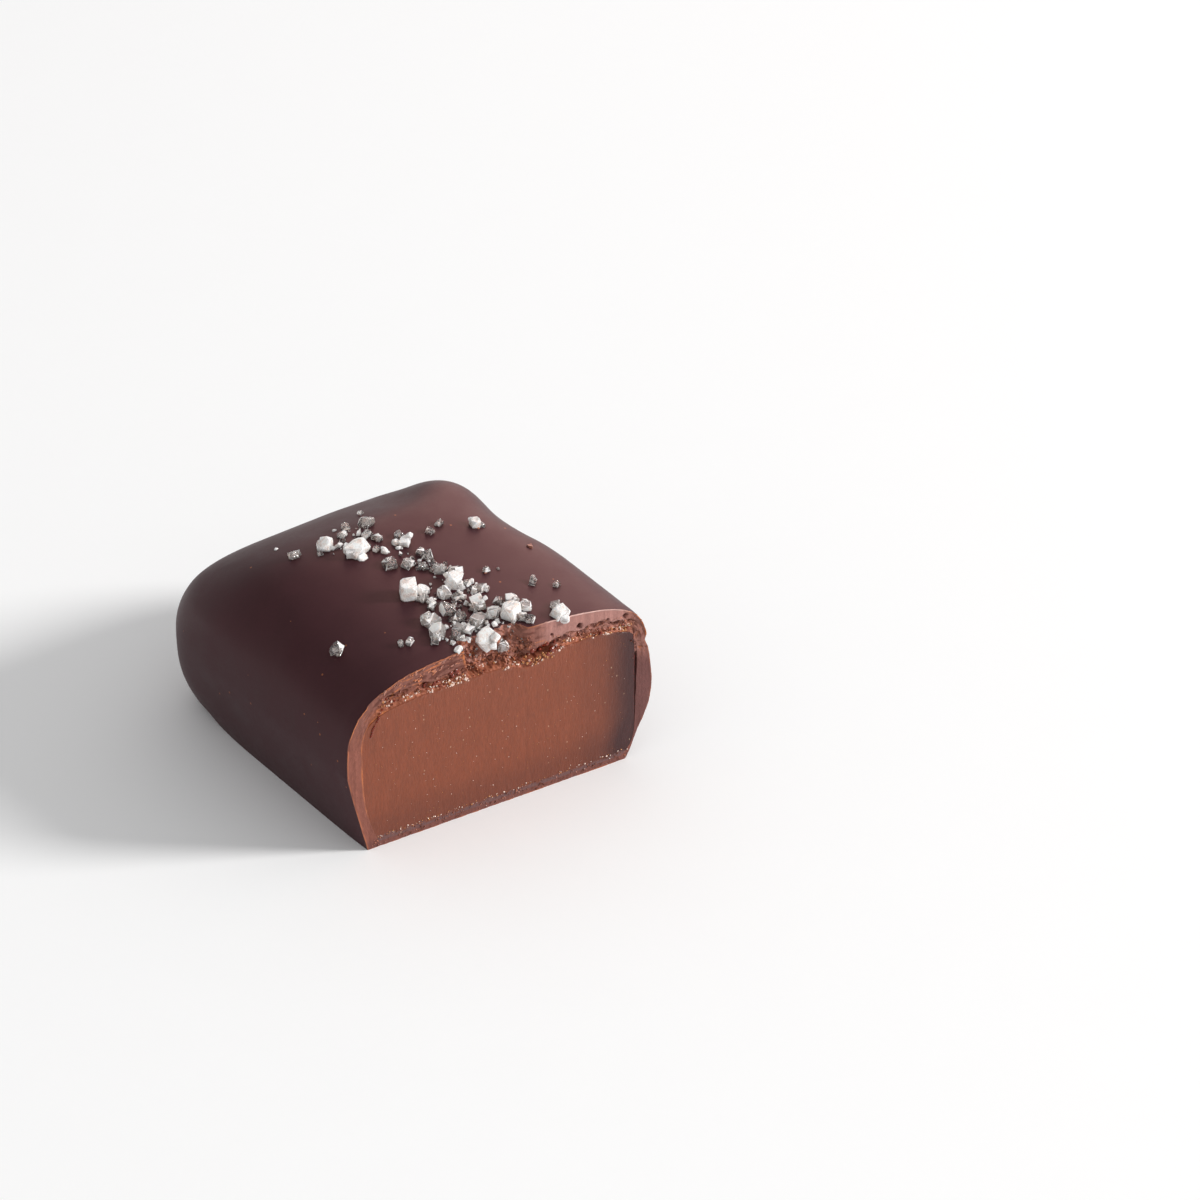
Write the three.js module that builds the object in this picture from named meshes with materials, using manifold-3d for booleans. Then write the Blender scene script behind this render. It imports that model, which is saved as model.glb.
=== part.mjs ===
// A salted caramel candy, cut across: a dark chocolate coat round a caramel filling, with coarse salt on its top.
// Millimetres, +Z up. The candy rests on Z = 0 and its cut face looks along -Y.

import * as THREE from 'three';
import { ConvexGeometry } from 'three/addons/geometries/ConvexGeometry.js';
import { mergeVertices } from 'three/addons/utils/BufferGeometryUtils.js';
import Module from 'manifold-3d';

const { clamp, degToRad, lerp, smoothstep } = THREE.MathUtils;

// Driving dimensions of the whole candy, before it is cut
const HALF_WIDTH = 13.0;
const WHOLE_LENGTH = 33.6;
const BACK_Y = 14.65;
const TOP_Z = 15.03;

// Where the knife went through, and how far it was turned from square
const CUT_Y = -13.37;
const CUT_TURN = degToRad(-5.7);

// Thickness of the coat round the filling, and the clearance between the two
const COAT_SIDE = 1.4;
const COAT_BACK = 1.75;
const COAT_BASE = 0.45;
const COAT_TOP = 2.98;
const CLEARANCE = 0.12;

// The coat's outer form. Lists give the left, the right and the back side: the height of the widest line, how square
// the shoulder above it is, how far the foot is drawn in as a share of the half width, and how the foot curves.
const COAT = {
  centreX: 0,
  halfWidth: HALF_WIDTH,
  length: WHOLE_LENGTH,
  backY: BACK_Y,
  base: 0,
  cornerPower: 6.4,
  belly: [6.85, 4.65, 6.25],
  shoulder: [3.33, 6.35, 1.98],
  tuck: [0.106, 0.159, 0.122],
  footCurve: [1.1, 1.2, 2.85],
  crown: coatCrown,
};

// The filling's form, by the same rules
const FILLING = {
  centreX: -0.1,
  halfWidth: HALF_WIDTH - COAT_SIDE,
  length: WHOLE_LENGTH,
  backY: BACK_Y - COAT_BACK,
  base: COAT_BASE,
  cornerPower: 7,
  belly: [7.0, 7.0, 6.0],
  shoulder: [5.0, 16.0, 2.0],
  tuck: [0.1, 0.1, 0.08],
  footCurve: [2.5, 9.0, 2.5],
  crown: fillingCrown,
};

// The slack place in the right shoulder, where the coat is drawn in
const SLACK = { y: 0.8, reach: 3.4, depth: 0.6, drop: 0.3 };

// The swollen edge that the knife pushed out of the right side
const BURR = { z: 6.2, height: 2.6, reach: 1.3, depth: 0.32 };

// Grid steps of the two blocks, across, along and up
const COAT_STEPS = [24, 28, 12];
const POCKET_STEPS = [14, 14, 7];

// The torn edge of the cut: the bite out of the top lip, the hollow under it, and the row of pits over the filling
const BITE = { x: -1.2, z: 14.5, size: [3.3, 1.3, 1.6] };
const HOLLOW = { x: 3.6, z: 12.25, size: [2.4, 1.3, 0.75] };
const PITS = { count: 15, from: -9.6, to: 10.6, size: [1.0, 0.8, 0.55], above: 0.75 };

// Salt: the largest crystals, set where they lie on the top, then the strewn ones
const LARGEST = [
  { x: -2.6, y: 1.3, size: 1.75, turn: 12 },
  { x: -3.7, y: 3.6, size: 1.35, turn: 40 },
  { x: -2.6, y: -5.6, size: 1.75, turn: 62 },
  { x: 2.2, y: -11.6, size: 1.8, turn: 25 },
  { x: -0.6, y: -12.5, size: 1.6, turn: 8 },
  { x: 5.5, y: -13.3, size: 1.45, turn: 15 },
  { x: 1.0, y: -6.1, size: 1.45, turn: 50 },
  { x: 0.9, y: -9.3, size: 1.25, turn: 70 },
  { x: -0.2, y: -10.8, size: 1.2, turn: 30 },
  { x: -3.1, y: -9.1, size: 1.15, turn: 5 },
  { x: -3.7, y: -10.6, size: 1.15, turn: 55 },
  { x: 0.3, y: 4.9, size: 1.1, turn: 20 },
  { x: 1.0, y: 0.2, size: 1.15, turn: 45 },
  { x: -1.6, y: -1.7, size: 1.1, turn: 75 },
  { x: -9.3, y: -5.7, size: 1.0, turn: 35 },
];
const STREWN = { count: 58, from: [-2.2, 4.6], to: [0.5, -12.2], spread: [1.5, 2.1], size: [0.45, 1.05] };
const STRAY = { count: 8, x: [-6.5, 8.0], y: [-10.5, 4.5], size: [0.45, 0.7] };
const SUNK = [0.18, 0.42];

// Numbers from 0 to 1 in a fixed order, so that each build is alike
function dice(seed) {
  let state = seed;
  return () => {
    state = (state * 1664525 + 1013904223) % 4294967296;
    return state / 4294967296;
  };
}

const pick = (range, t) => lerp(range[0], range[1], t);

// Height of the coat's top over a place: it falls towards the sides and rises to the back
function coatCrown(x, y) {
  const side = 0.9 * (Math.abs(x + 1) / HALF_WIDTH) ** 2.4;
  return TOP_Z - side + 1.4 * smoothstep(y, -12, 14) - 0.18 * smoothstep(x, 2, 13);
}

// Height of the filling's top: nearly level, with a dip under the torn edge and a lower right edge
function fillingCrown(x) {
  const dip = 0.7 * Math.exp(-(((x - 2.3) / 1.4) ** 2));
  return TOP_Z - COAT_TOP - dip - 0.55 * smoothstep(x, 8, 11.6);
}

// Lays a point of the cube from -1 to 1 onto a drawn-in block with round corners and shoulders
function blockPoint(cube, form) {
  const { x: across, y: along, z: up } = cube;
  const reach = Math.max(Math.abs(across), Math.abs(along), 1e-9);
  const ux = across / reach;
  const uy = along / reach;
  const spread = Math.abs(ux) ** form.cornerPower + Math.abs(uy) ** form.cornerPower;
  const round = Math.max(spread, 1e-9) ** (-1 / form.cornerPower);
  const dx = ux * round;
  const dy = uy * round;
  const rim = smoothstep(reach, 0, 1);
  const right = smoothstep(lerp(across, dx, rim), -1, 1);
  const back = smoothstep(lerp(along, dy, rim), 0.35, 0.98);
  const blend = ([left, atRight, atBack]) => lerp(lerp(left, atRight, right), atBack, back);
  const belly = blend(form.belly);
  const power = blend(form.shoulder);
  const tuck = blend(form.tuck);
  const edge = 0.5 ** (1 / power);
  const height = (up + 1) / 2;
  const low = clamp(height / 0.45, 0, 1);
  const high = clamp((height - 0.45) / 0.55, 0, 1);

  let out = 1 - tuck * (1 - low) ** blend(form.footCurve);
  let rise = 0;
  if (up >= 1) {
    out = edge * reach;
    rise = (1 - out ** power) ** (1 / power);
  } else if (up <= -1) {
    out = (1 - tuck) * reach;
  } else if (height > 0.45) {
    rise = edge * high;
    out = (1 - rise ** power) ** (1 / power);
  }

  const halfLength = form.length / 2;
  const inset = (form.halfWidth - halfLength) * (out - 1) * dy * smoothstep(out, 0.3, 1);
  const x = form.centreX + form.halfWidth * out * dx;
  const y = form.backY - halfLength + halfLength * out * dy + inset;
  const foot = up <= -1 ? form.base : form.base + (belly - form.base) * low;
  const z = rise > 0 ? belly + (form.crown(x, y) - belly) * rise : foot;
  return new THREE.Vector3(x, y, z);
}

// The coat's outer surface: the block with its slack shoulder and the burr beside the cut
function coatPoint(cube) {
  const point = blockPoint(cube, COAT);
  const near = Math.exp(-(((point.y - SLACK.y) / SLACK.reach) ** 2));
  const slack = near * smoothstep(point.x, 7, 12.5) * smoothstep(point.z, 3, 11);
  const fromCut = point.y - cutY(point.x);
  const burr = Math.exp(-(((point.z - BURR.z) / BURR.height) ** 2) - ((fromCut / BURR.reach) ** 2));
  point.x += BURR.depth * burr * smoothstep(point.x, 10, 12.5) - SLACK.depth * slack;
  point.z -= SLACK.drop * slack;
  return point;
}

function cutY(x) {
  return CUT_Y + Math.tan(CUT_TURN) * x;
}

// The point of the coat's top that lies over a place, and its upward direction
function topAt(x, y) {
  const cube = new THREE.Vector3(x / HALF_WIDTH, (y - BACK_Y) / (WHOLE_LENGTH / 2) + 1, 1);
  let point = coatPoint(cube);
  for (let step = 0; step < 12; step += 1) {
    cube.x += (x - point.x) / HALF_WIDTH;
    cube.y += (y - point.y) / (WHOLE_LENGTH / 2);
    point = coatPoint(cube);
  }
  const east = coatPoint(cube.clone().add(new THREE.Vector3(0.01, 0, 0))).sub(point);
  const north = coatPoint(cube.clone().add(new THREE.Vector3(0, 0.01, 0))).sub(point);
  return { point, normal: east.cross(north).normalize() };
}

// Boolean library
const wasm = await Module();
wasm.setup();

function solid(source) {
  const bare = source.clone();
  bare.deleteAttribute('normal');
  bare.deleteAttribute('uv');
  const merged = mergeVertices(bare, 1e-4);
  const count = merged.attributes.position.count;
  const triVerts = merged.index ? new Uint32Array(merged.index.array) : Uint32Array.from({ length: count }, (_, i) => i);
  const vertProperties = new Float32Array(merged.attributes.position.array);
  return new wasm.Manifold(new wasm.Mesh({ numProp: 3, vertProperties, triVerts }));
}

function geometry(body) {
  const mesh = body.getMesh();
  const result = new THREE.BufferGeometry();
  result.setAttribute('position', new THREE.BufferAttribute(mesh.vertProperties, 3));
  result.setIndex(new THREE.BufferAttribute(mesh.triVerts, 1));
  result.computeVertexNormals();
  return result;
}

// A cube's grid, laid onto a surface by a function of its points
function block(steps, place) {
  const grid = new THREE.BoxGeometry(2, 2, 2, ...steps);
  const position = grid.attributes.position;
  for (let i = 0; i < position.count; i += 1) {
    const point = place(new THREE.Vector3().fromBufferAttribute(position, i));
    position.setXYZ(i, point.x, point.y, point.z);
  }
  return solid(grid);
}

// Everything in front of the knife's plane
function cutAway() {
  const size = 4 * HALF_WIDTH;
  const slab = new THREE.BoxGeometry(2 * size, size, 2 * size);
  slab.translate(0, -size / 2, 0);
  slab.rotateZ(CUT_TURN);
  slab.translate(0, CUT_Y, 0);
  return solid(slab);
}

// A block with some corners broken off, as the points of its hull
function brokenBlock(size, random, chance = 0.42) {
  const half = size.map((side) => side / 2);
  const points = [];
  for (let corner = 0; corner < 8; corner += 1) {
    const sign = [corner & 1 ? 1 : -1, corner & 2 ? 1 : -1, corner & 4 ? 1 : -1];
    const broken = random() < chance;
    const depth = 0.35 + 0.55 * random();
    const wobble = 1 - 0.16 * random();
    const at = sign.map((side, axis) => side * half[axis] * wobble);
    if (!broken) {
      points.push(new THREE.Vector3(...at));
      continue;
    }
    for (let axis = 0; axis < 3; axis += 1) {
      const moved = [...at];
      moved[axis] -= sign[axis] * half[axis] * depth;
      points.push(new THREE.Vector3(...moved));
    }
  }
  return points;
}

// One salt crystal, sunk into the top at a place
function crystal({ x, y, size, turn, random }) {
  const sides = [size, size * pick([0.68, 1], random()), size * pick([0.6, 0.95], random())];
  const points = brokenBlock(sides, random);
  const tilt = new THREE.Euler(0.5 * (random() - 0.5), 0.5 * (random() - 0.5), degToRad(turn));
  const { point, normal } = topAt(x, y);
  const lift = sides[2] * (0.5 - pick(SUNK, random()));
  const shape = new ConvexGeometry(points);
  shape.applyQuaternion(new THREE.Quaternion().setFromEuler(tilt));
  shape.applyQuaternion(new THREE.Quaternion().setFromUnitVectors(new THREE.Vector3(0, 0, 1), normal));
  shape.translate(...point.addScaledVector(normal, lift).toArray());
  return solid(shape);
}

// A list of the places and sizes of all crystals
function saltPlaces() {
  const random = dice(20611);
  const places = [];
  for (const one of LARGEST) {
    places.push(one);
    // a second block grown onto each of the biggest
    if (one.size < 1.3) continue;
    const angle = 2 * Math.PI * random();
    const size = one.size * pick([0.5, 0.72], random());
    const away = 0.52 * one.size;
    places.push({ x: one.x + away * Math.cos(angle), y: one.y + away * Math.sin(angle) * 0.6, size, turn: 90 * random() });
  }
  for (let i = 0; i < STREWN.count; i += 1) {
    // thicker towards the cut, and spread to both sides like a bell curve
    const along = 1 - random() ** 1.35;
    const aside = random() + random() + random() - 1.5;
    const away = aside * 1.5 * pick(STREWN.spread, along);
    const x = STREWN.from[0] + (STREWN.to[0] - STREWN.from[0]) * along + away;
    const y = STREWN.from[1] + (STREWN.to[1] - STREWN.from[1]) * along + 0.25 * away;
    places.push({ x, y, size: pick(STREWN.size, random() ** 1.6), turn: 90 * random() });
  }
  for (let i = 0; i < STRAY.count; i += 1) {
    const x = pick(STRAY.x, random());
    const y = pick(STRAY.y, random());
    places.push({ x, y, size: pick(STRAY.size, random()), turn: 90 * random() });
  }
  return places;
}

// A broken block to be cut out of the face of the cut
function gouge({ x, z, size, turn = 0 }, random) {
  const shape = new ConvexGeometry(brokenBlock(size, random, 0.6));
  shape.rotateY(turn);
  shape.rotateZ(CUT_TURN);
  shape.translate(x, cutY(x), z);
  return solid(shape);
}

function gouges() {
  const random = dice(907);
  const list = [gouge(BITE, random), gouge(HOLLOW, random)];
  for (let i = 0; i < PITS.count; i += 1) {
    const x = pick([PITS.from, PITS.to], (i + 0.7 * random()) / PITS.count);
    const size = PITS.size.map((side) => side * pick([0.6, 1.2], random()));
    const z = fillingCrown(x) + PITS.above * pick([0.7, 1.2], random());
    list.push(gouge({ x, z, size, turn: random() - 0.5 }, random));
  }
  return list;
}

// Sub-parts
function chocolateShell() {
  let body = block(COAT_STEPS, coatPoint);
  body = body.subtract(block(POCKET_STEPS, (cube) => blockPoint(cube, FILLING)));
  body = body.subtract(cutAway());
  for (const each of gouges()) {
    body = body.subtract(each);
  }
  const random = dice(4821);
  for (const place of saltPlaces()) {
    body = body.add(crystal({ ...place, random }));
  }
  return geometry(body);
}

function caramelFilling() {
  const shrunk = {
    ...FILLING,
    halfWidth: FILLING.halfWidth - CLEARANCE,
    backY: FILLING.backY - CLEARANCE,
    base: FILLING.base + CLEARANCE,
    crown: (x) => fillingCrown(x) - CLEARANCE,
  };
  const body = block(POCKET_STEPS, (cube) => blockPoint(cube, shrunk));
  return geometry(body.subtract(cutAway()));
}

function named(name, shape, colour, roughness) {
  const mesh = new THREE.Mesh(shape, new THREE.MeshStandardMaterial({ color: colour, roughness, metalness: 0 }));
  mesh.name = name;
  return mesh;
}

const group = new THREE.Group();
group.add(named('chocolate_shell', chocolateShell(), 0x3d2a2c, 0.42));
group.add(named('caramel_filling', caramelFilling(), 0x8b503c, 0.35));

export default group;
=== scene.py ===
"""A salted caramel candy, cut across, dressed for its picture.

Every length in the forms below is in millimetres, and becomes metres where a mesh is made.
"""

import math

import bmesh
import bpy
import numpy as np
from bpy.props import FloatProperty, FloatVectorProperty, IntProperty, PointerProperty
from bpy.types import Operator, Panel, PropertyGroup
from mathutils import Euler, Matrix, Vector
from mathutils.bvhtree import BVHTree


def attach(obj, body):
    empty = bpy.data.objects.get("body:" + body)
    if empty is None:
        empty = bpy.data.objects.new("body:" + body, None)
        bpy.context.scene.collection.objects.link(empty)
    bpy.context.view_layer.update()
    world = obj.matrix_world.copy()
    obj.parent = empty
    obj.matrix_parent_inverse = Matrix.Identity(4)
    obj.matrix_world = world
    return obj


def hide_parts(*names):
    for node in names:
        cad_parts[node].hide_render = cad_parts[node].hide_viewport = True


bl_info = {
    "name": "Salted caramel candy",
    "version": (1, 0, 0),
    "blender": (4, 5, 0),
    "location": "View3D > Sidebar > Candy",
    "description": "Builds a cut chocolate with a caramel filling and coarse salt",
    "category": "Object",
}

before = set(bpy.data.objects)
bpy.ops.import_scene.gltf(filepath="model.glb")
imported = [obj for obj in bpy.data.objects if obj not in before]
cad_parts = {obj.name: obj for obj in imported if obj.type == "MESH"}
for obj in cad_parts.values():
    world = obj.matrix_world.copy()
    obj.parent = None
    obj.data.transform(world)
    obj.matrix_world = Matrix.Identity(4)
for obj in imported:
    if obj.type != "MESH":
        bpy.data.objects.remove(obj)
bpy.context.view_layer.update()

MM = 0.001
TAU = 2 * math.pi

# The slack place in the right shoulder, where the coat is drawn in
SLACK = {"y": 0.8, "reach": 3.4, "depth": 0.6, "drop": 0.3}

# The swollen edge that the knife pushed out of the right side, and the nick over it
BURR = {"z": 6.2, "height": 2.6, "reach": 1.3, "depth": 0.32}
NICK = {"z": 10.1, "height": 0.45, "reach": 0.9, "depth": 0.2}

# How far the foot stands out beside the cut on the right, and the slack place over it
FOOT = {"height": 2.8, "depth": 0.38, "reach": 3.0, "slack_z": 4.65, "slack_height": 0.95, "slack": 0.13}

# Low swellings of the skin: where they are, and how far they stand out
SWELLINGS = (
    (-11.9, 11.6, 2.8, 0.16),
    (-11.1, 12.9, 8.6, 0.08),
    (-9.6, 12.7, 10.2, 0.14),
    (-7.0, 11.9, 11.8, 0.06),
    (1.0, 11.4, 12.4, 0.06),
    (7.5, 9.9, 12.9, 0.12),
    (9.4, 7.8, 13.8, 0.38),
    (10.8, 5.8, 13.7, 0.16),
    (11.3, 3.5, 13.2, -0.22),
)
SWELLING_REACH = 3.2

# The torn edge of the cut: its hollow, small holes as x, z and width, and the row of pits over the filling
HOLLOW = {"x": 3.2, "z": 12.3, "width": 2.4, "height": 0.85, "depth": 0.5}
HOLES = ((6.66, 13.40, 0.21), (9.14, 13.16, 0.13), (10.65, 12.99, 0.24), (4.3, 13.5, 0.12))
PITS = {"count": 15, "from": -9.6, "to": 10.6, "size": (1.0, 0.8, 0.55), "above": 0.75}

# How many numbers the solid draws for the corners of each block that is broken out of its cut
BLOCK_DRAWS = 24

# How many drops, crumbs and flakes lie where the coat is torn, and how far forward its lip is
COUNTS = {
    "clusters": 75,
    "in a cluster": 5,
    "amber in the hollow": 45,
    "drops under the caramel": 110,
    "drops on the caramel": 230,
    "dark in the hollow": 34,
    "dark beside the bite": 9,
    "dark at the corner": 26,
    "dark over the filling": 60,
    "crumbs in the bite": 240,
    "crumbs over the filling": 190,
    "crumbs under the filling": 210,
    "crumbs in the fold": 18,
    "bits of a crumb": 3,
    "flakes on the lip": 150,
    "flakes in the bite": 60,
    "flakes at the right": 50,
    "salt in the bite": 22,
}
LIP_Y = -13.0

# Salt: the largest crystals as x, y, size, turn and how clear they are, as they lie on the top
LARGEST = (
    (-2.6, 1.2, 1.8, 12, "white"),
    (-3.9, 3.4, 1.3, 40, "white"),
    (-2.6, -5.4, 1.7, 62, "block"),
    (-1.5, -5.6, 0.95, 20, "white"),
    (2.1, -11.8, 1.6, 25, "block"),
    (3.2, -10.3, 1.1, 60, "cloudy"),
    (-0.6, -12.5, 1.5, 8, "white"),
    (5.2, -13.5, 1.25, 15, "white"),
    (5.6, -12.5, 0.8, 50, "cloudy"),
    (1.0, -6.1, 1.45, 50, "white"),
    (2.0, -4.9, 1.1, 15, "cloudy"),
    (0.9, -9.3, 1.35, 70, "cloudy"),
    (-0.2, -10.8, 1.3, 30, "cloudy"),
    (-3.2, -9.1, 1.2, 5, "cloudy"),
    (-3.6, -10.5, 1.15, 55, "cloudy"),
    (0.2, 4.0, 1.0, 20, "clear"),
    (1.0, 0.2, 1.05, 45, "white"),
    (-1.6, -1.6, 1.1, 75, "clear"),
    (-9.7, -6.4, 1.0, 35, "clear"),
)
SMALLER = (
    (-6.2, 4.2, 0.8, 10, "clear"),
    (1.3, 6.5, 0.45, 30, "clear"),
    (-6.2, 6.8, 0.28, 15, "white"),
    (-1.9, 5.3, 0.3, 25, "white"),
    (-1.2, 4.8, 0.65, 70, "clear"),
    (-2.1, 3.9, 0.75, 5, "cloudy"),
    (-1.1, 3.2, 0.45, 40, "white"),
    (-0.8, 2.6, 0.75, 15, "clear"),
    (-4.8, 2.9, 0.45, 65, "clear"),
    (-3.1, 2.8, 0.45, 30, "white"),
    (-0.4, 1.7, 0.65, 80, "clear"),
    (-1.3, 0.6, 0.5, 20, "clear"),
    (-0.9, 0.1, 0.6, 55, "white"),
    (-0.5, -2.3, 0.85, 35, "cloudy"),
    (1.1, 1.2, 0.7, 60, "clear"),
    (0.4, 0.5, 0.5, 10, "white"),
    (3.4, 0.4, 0.65, 45, "clear"),
    (1.4, -2.3, 0.8, 70, "clear"),
    (1.2, -1.5, 0.6, 25, "clear"),
    (0.3, -3.0, 0.65, 50, "clear"),
    (4.7, 0.9, 0.6, 15, "clear"),
    (7.0, -0.4, 0.85, 75, "white"),
    (7.6, -0.5, 0.5, 30, "clear"),
    (0.7, -3.7, 0.4, 5, "clear"),
    (1.1, -4.1, 0.85, 65, "cloudy"),
    (1.6, -4.2, 0.4, 20, "clear"),
    (1.1, -6.5, 0.8, 35, "cloudy"),
    (-0.5, -6.9, 1.0, 80, "cloudy"),
    (1.8, -6.7, 0.65, 10, "clear"),
    (2.3, -6.6, 0.45, 55, "white"),
    (2.3, -7.7, 0.9, 25, "cloudy"),
    (1.7, -7.7, 0.5, 45, "white"),
    (-2.0, -6.4, 0.8, 15, "cloudy"),
    (-1.7, -7.0, 0.6, 60, "white"),
    (-2.0, -7.5, 0.8, 35, "clear"),
    (0.2, -7.6, 0.65, 5, "clear"),
    (0.6, -7.9, 0.45, 70, "clear"),
    (0.3, -8.6, 0.4, 30, "white"),
    (1.2, -10.8, 1.05, 50, "cloudy"),
    (2.4, -9.8, 0.7, 20, "clear"),
    (3.6, -11.5, 0.9, 65, "cloudy"),
    (2.6, -12.3, 0.9, 10, "clear"),
    (2.9, -13.1, 0.7, 40, "clear"),
    (-1.4, -8.6, 1.0, 75, "clear"),
    (-1.2, -9.9, 0.95, 25, "clear"),
    (-4.3, -11.1, 0.65, 55, "clear"),
    (-2.0, -10.9, 0.75, 15, "cloudy"),
    (-2.6, -11.4, 0.8, 60, "clear"),
    (-1.5, -11.5, 0.75, 35, "cloudy"),
    (0.5, -12.8, 0.85, 5, "cloudy"),
    (1.3, -13.2, 0.7, 80, "cloudy"),
    (-1.6, -13.1, 0.55, 45, "white"),
    (-3.4, -12.8, 0.65, 20, "white"),
    (-3.3, -11.9, 0.4, 65, "clear"),
    (-5.7, -10.0, 0.7, 30, "cloudy"),
    (-6.3, -9.7, 0.5, 50, "clear"),
    (4.0, -6.0, 0.55, 10, "clear"),
    (5.0, -6.2, 0.25, 70, "clear"),
    (6.1, -9.0, 0.75, 40, "clear"),
    (7.5, -10.1, 0.55, 25, "clear"),
)

# Crumbs of chocolate on the top: x, y and size
CRUMBS = (
    (9.2, -4.4, 0.42),
    (6.3, -8.8, 0.26),
    (7.7, -9.9, 0.22),
    (3.9, -6.1, 0.24),
    (7.1, -0.9, 0.2),
    (-0.5, -1.9, 0.22),
)

# Heaps of fine grains: the middle, the spread both ways and the share of all grains
HEAPS = (
    (-1.8, 2.6, 1.5, 1.6, 0.18),
    (0.6, -2.6, 1.1, 2.2, 0.12),
    (0.6, -6.8, 1.7, 1.6, 0.24),
    (-0.6, -11.0, 2.3, 1.5, 0.46),
)

# How far before and behind the cut its face is looked for, and how much it has to face forwards
BEFORE_CUT = 4
BEHIND_CUT = 1.7
FACING = -0.35

# The lowest place that a crystal lies at
TOP_LEAST = 12.9

# The mark of a crystal's rims while their material is chosen, and how much more of them is frosted
RIM = 2
RIM_FROST = 0.25

# Each kind of salt: the share of its faces that are frosted, how many clouded veils a crystal has, and its
# finish, as how clear and how dull it is and how strongly it glows, a painted light for light scattered
# inside
SALT_KINDS = {
    "white": {"frosted": 0.55, "veils": 0, "finish": (0.2, 0.25, 0.06)},
    "cloudy": {"frosted": 0.26, "veils": 4, "finish": (0.8, 0.14, 0.02)},
    "clear": {"frosted": 0.12, "veils": 2, "finish": (0.95, 0.07, 0.0)},
}
# the frosted faces glow a little as well: painted light for light scattered inside
FROST = (0.0, 0.4, 0.07)

# The bevel of a crystal's edges: the least, and how it grows with the crystal
BEVEL = (0.006, 0.010)

# How thick the veils inside a crystal are
VEIL = 0.03

# How deep a crystal is sunk into the skin, as a share of its height
SUNK = (0.16, 0.38)

# How finely the forms are divided: across, up and from the cut to the back
ACROSS = 300
UP = 120
RING_ROWS = 40

# The rows of points behind the cut, as shares of the way to the back
EDGE_ROWS = (0.002, 0.005, 0.009, 0.014, 0.020, 0.027, 0.036, 0.046)
SKIN_ROWS = 74
POCKET_EDGE_ROWS = (0.01, 0.03)
POCKET_HALVED = (0.06, 0.12)
POCKET_ROWS = 19
FILLING_HALVED = (0.02, 0.06)
FILLING_ROWS = 20

# The lights, in metres and degrees: where they stand, how large they are and their colour
LIT_PLACE = (0, 0, 0.006)
KEY = {"azimuth": 51.5, "elevation": 24.5, "distance": 1.5, "size": 0.36, "colour": (1.0, 0.985, 0.97)}
SHEEN = {"azimuth": 130, "elevation": 26, "distance": 0.5, "size": 0.4, "colour": (1.0, 0.58, 0.50)}

# The light from the left and from the right, as shares of that from all round, and half the floor in metres
WORLD_SHARES = (0.81, 1.12)
FLOOR_REACH = 3.0

# The camera, with its distance, lens and target in millimetres, and how near and far it sees in metres
CAMERA = {
    "azimuth": -37.309,
    "elevation": 33.078,
    "distance": 337.017,
    "target": (22.501, 4.245, 0.0),
    "lens": 126.0,
    "sensor": 36.0,
    "sees": (0.01, 20.0),
}


# Numbers


def dice(seed):
    """Numbers from 0 to 1 in a fixed order."""
    state = seed

    def roll():
        nonlocal state
        state = (state * 1664525 + 1013904223) % 4294967296
        return state / 4294967296

    return roll


def lerp(low, high, t):
    return low + (high - low) * t


def pick(span, t):
    return lerp(span[0], span[1], t)


def smoothstep(value, low, high):
    t = np.clip((value - low) / (high - low), 0, 1)
    return t * t * (3 - 2 * t)


def bell(value, centre, width):
    return np.exp(-(((value - centre) / width) ** 2))


def lattice(cells, seed):
    """A number from 0 to 1 for each cell of a grid."""
    n = cells[..., 0] * 73856093 ^ cells[..., 1] * 19349663 ^ cells[..., 2] * 83492791 ^ seed * 40503
    n = (n ^ (n >> 13)) * 1274126177 & 0xFFFFFFFF
    n = (n ^ (n >> 16)) * 2246822519 & 0xFFFFFFFF
    return ((n ^ (n >> 15)) & 0xFFFFFF) / 0xFFFFFF


def ripple(points, size, seed=0):
    """Smooth noise from -1 to 1 with bumps of about a given size."""
    at = np.asarray(points, float) / size
    base = np.floor(at).astype(np.int64)
    part = at - base
    part = part * part * (3 - 2 * part)
    total = 0.0
    for corner in range(8):
        step = np.array([corner & 1, corner >> 1 & 1, corner >> 2 & 1])
        weight = np.prod(np.where(step, part, 1 - part), axis=-1)
        total = total + weight * lattice(base + step, seed)
    return 2 * total - 1


def shards(x, z, size, seed=0):
    """Broken relief: each place takes the level and the tilt of the nearest of many scattered points.

    Returns the relief from 0 to 1, and how near a place is to the seam between two shards.
    """
    at = np.stack([x, z], -1) / size
    base = np.floor(at).astype(np.int64)
    nearest = np.full(len(at), 9.0)
    second = np.full(len(at), 9.0)
    relief = np.zeros(len(at))
    for i in (-1, 0, 1):
        for j in (-1, 0, 1):
            cell = np.stack([base[:, 0] + i, base[:, 1] + j, np.zeros(len(at), np.int64)], -1)
            centre = cell[:, :2] + np.stack([lattice(cell, seed + 1), lattice(cell, seed + 2)], -1)
            away = at - centre
            distance = np.hypot(away[:, 0], away[:, 1])
            tilt = 0.5 * (lattice(cell, seed + 3) - 0.5) * away[:, 0]
            tilt += 0.9 * (lattice(cell, seed + 4) - 0.5) * away[:, 1]
            level = 0.75 * lattice(cell, seed + 5) + 0.12 + tilt
            closer = distance < nearest
            second = np.where(closer, nearest, np.minimum(second, distance))
            relief = np.where(closer, level, relief)
            nearest = np.where(closer, distance, nearest)
    return np.clip(relief, 0, 1), 1 - smoothstep(second - nearest, 0, 0.25)


# The forms, by the same rules as the solid parts


def candy():
    return bpy.context.scene.candy


def coat_crown(x, y):
    """Height of the coat's top over a place: it falls towards the sides and rises to the back."""
    size = candy().sizes
    side = 0.9 * (np.abs(x + 1) / size.half_width) ** 2.4
    return size.top_height - side + 1.4 * smoothstep(y, -12, 14) - 0.18 * smoothstep(x, 2, 13)


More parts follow.
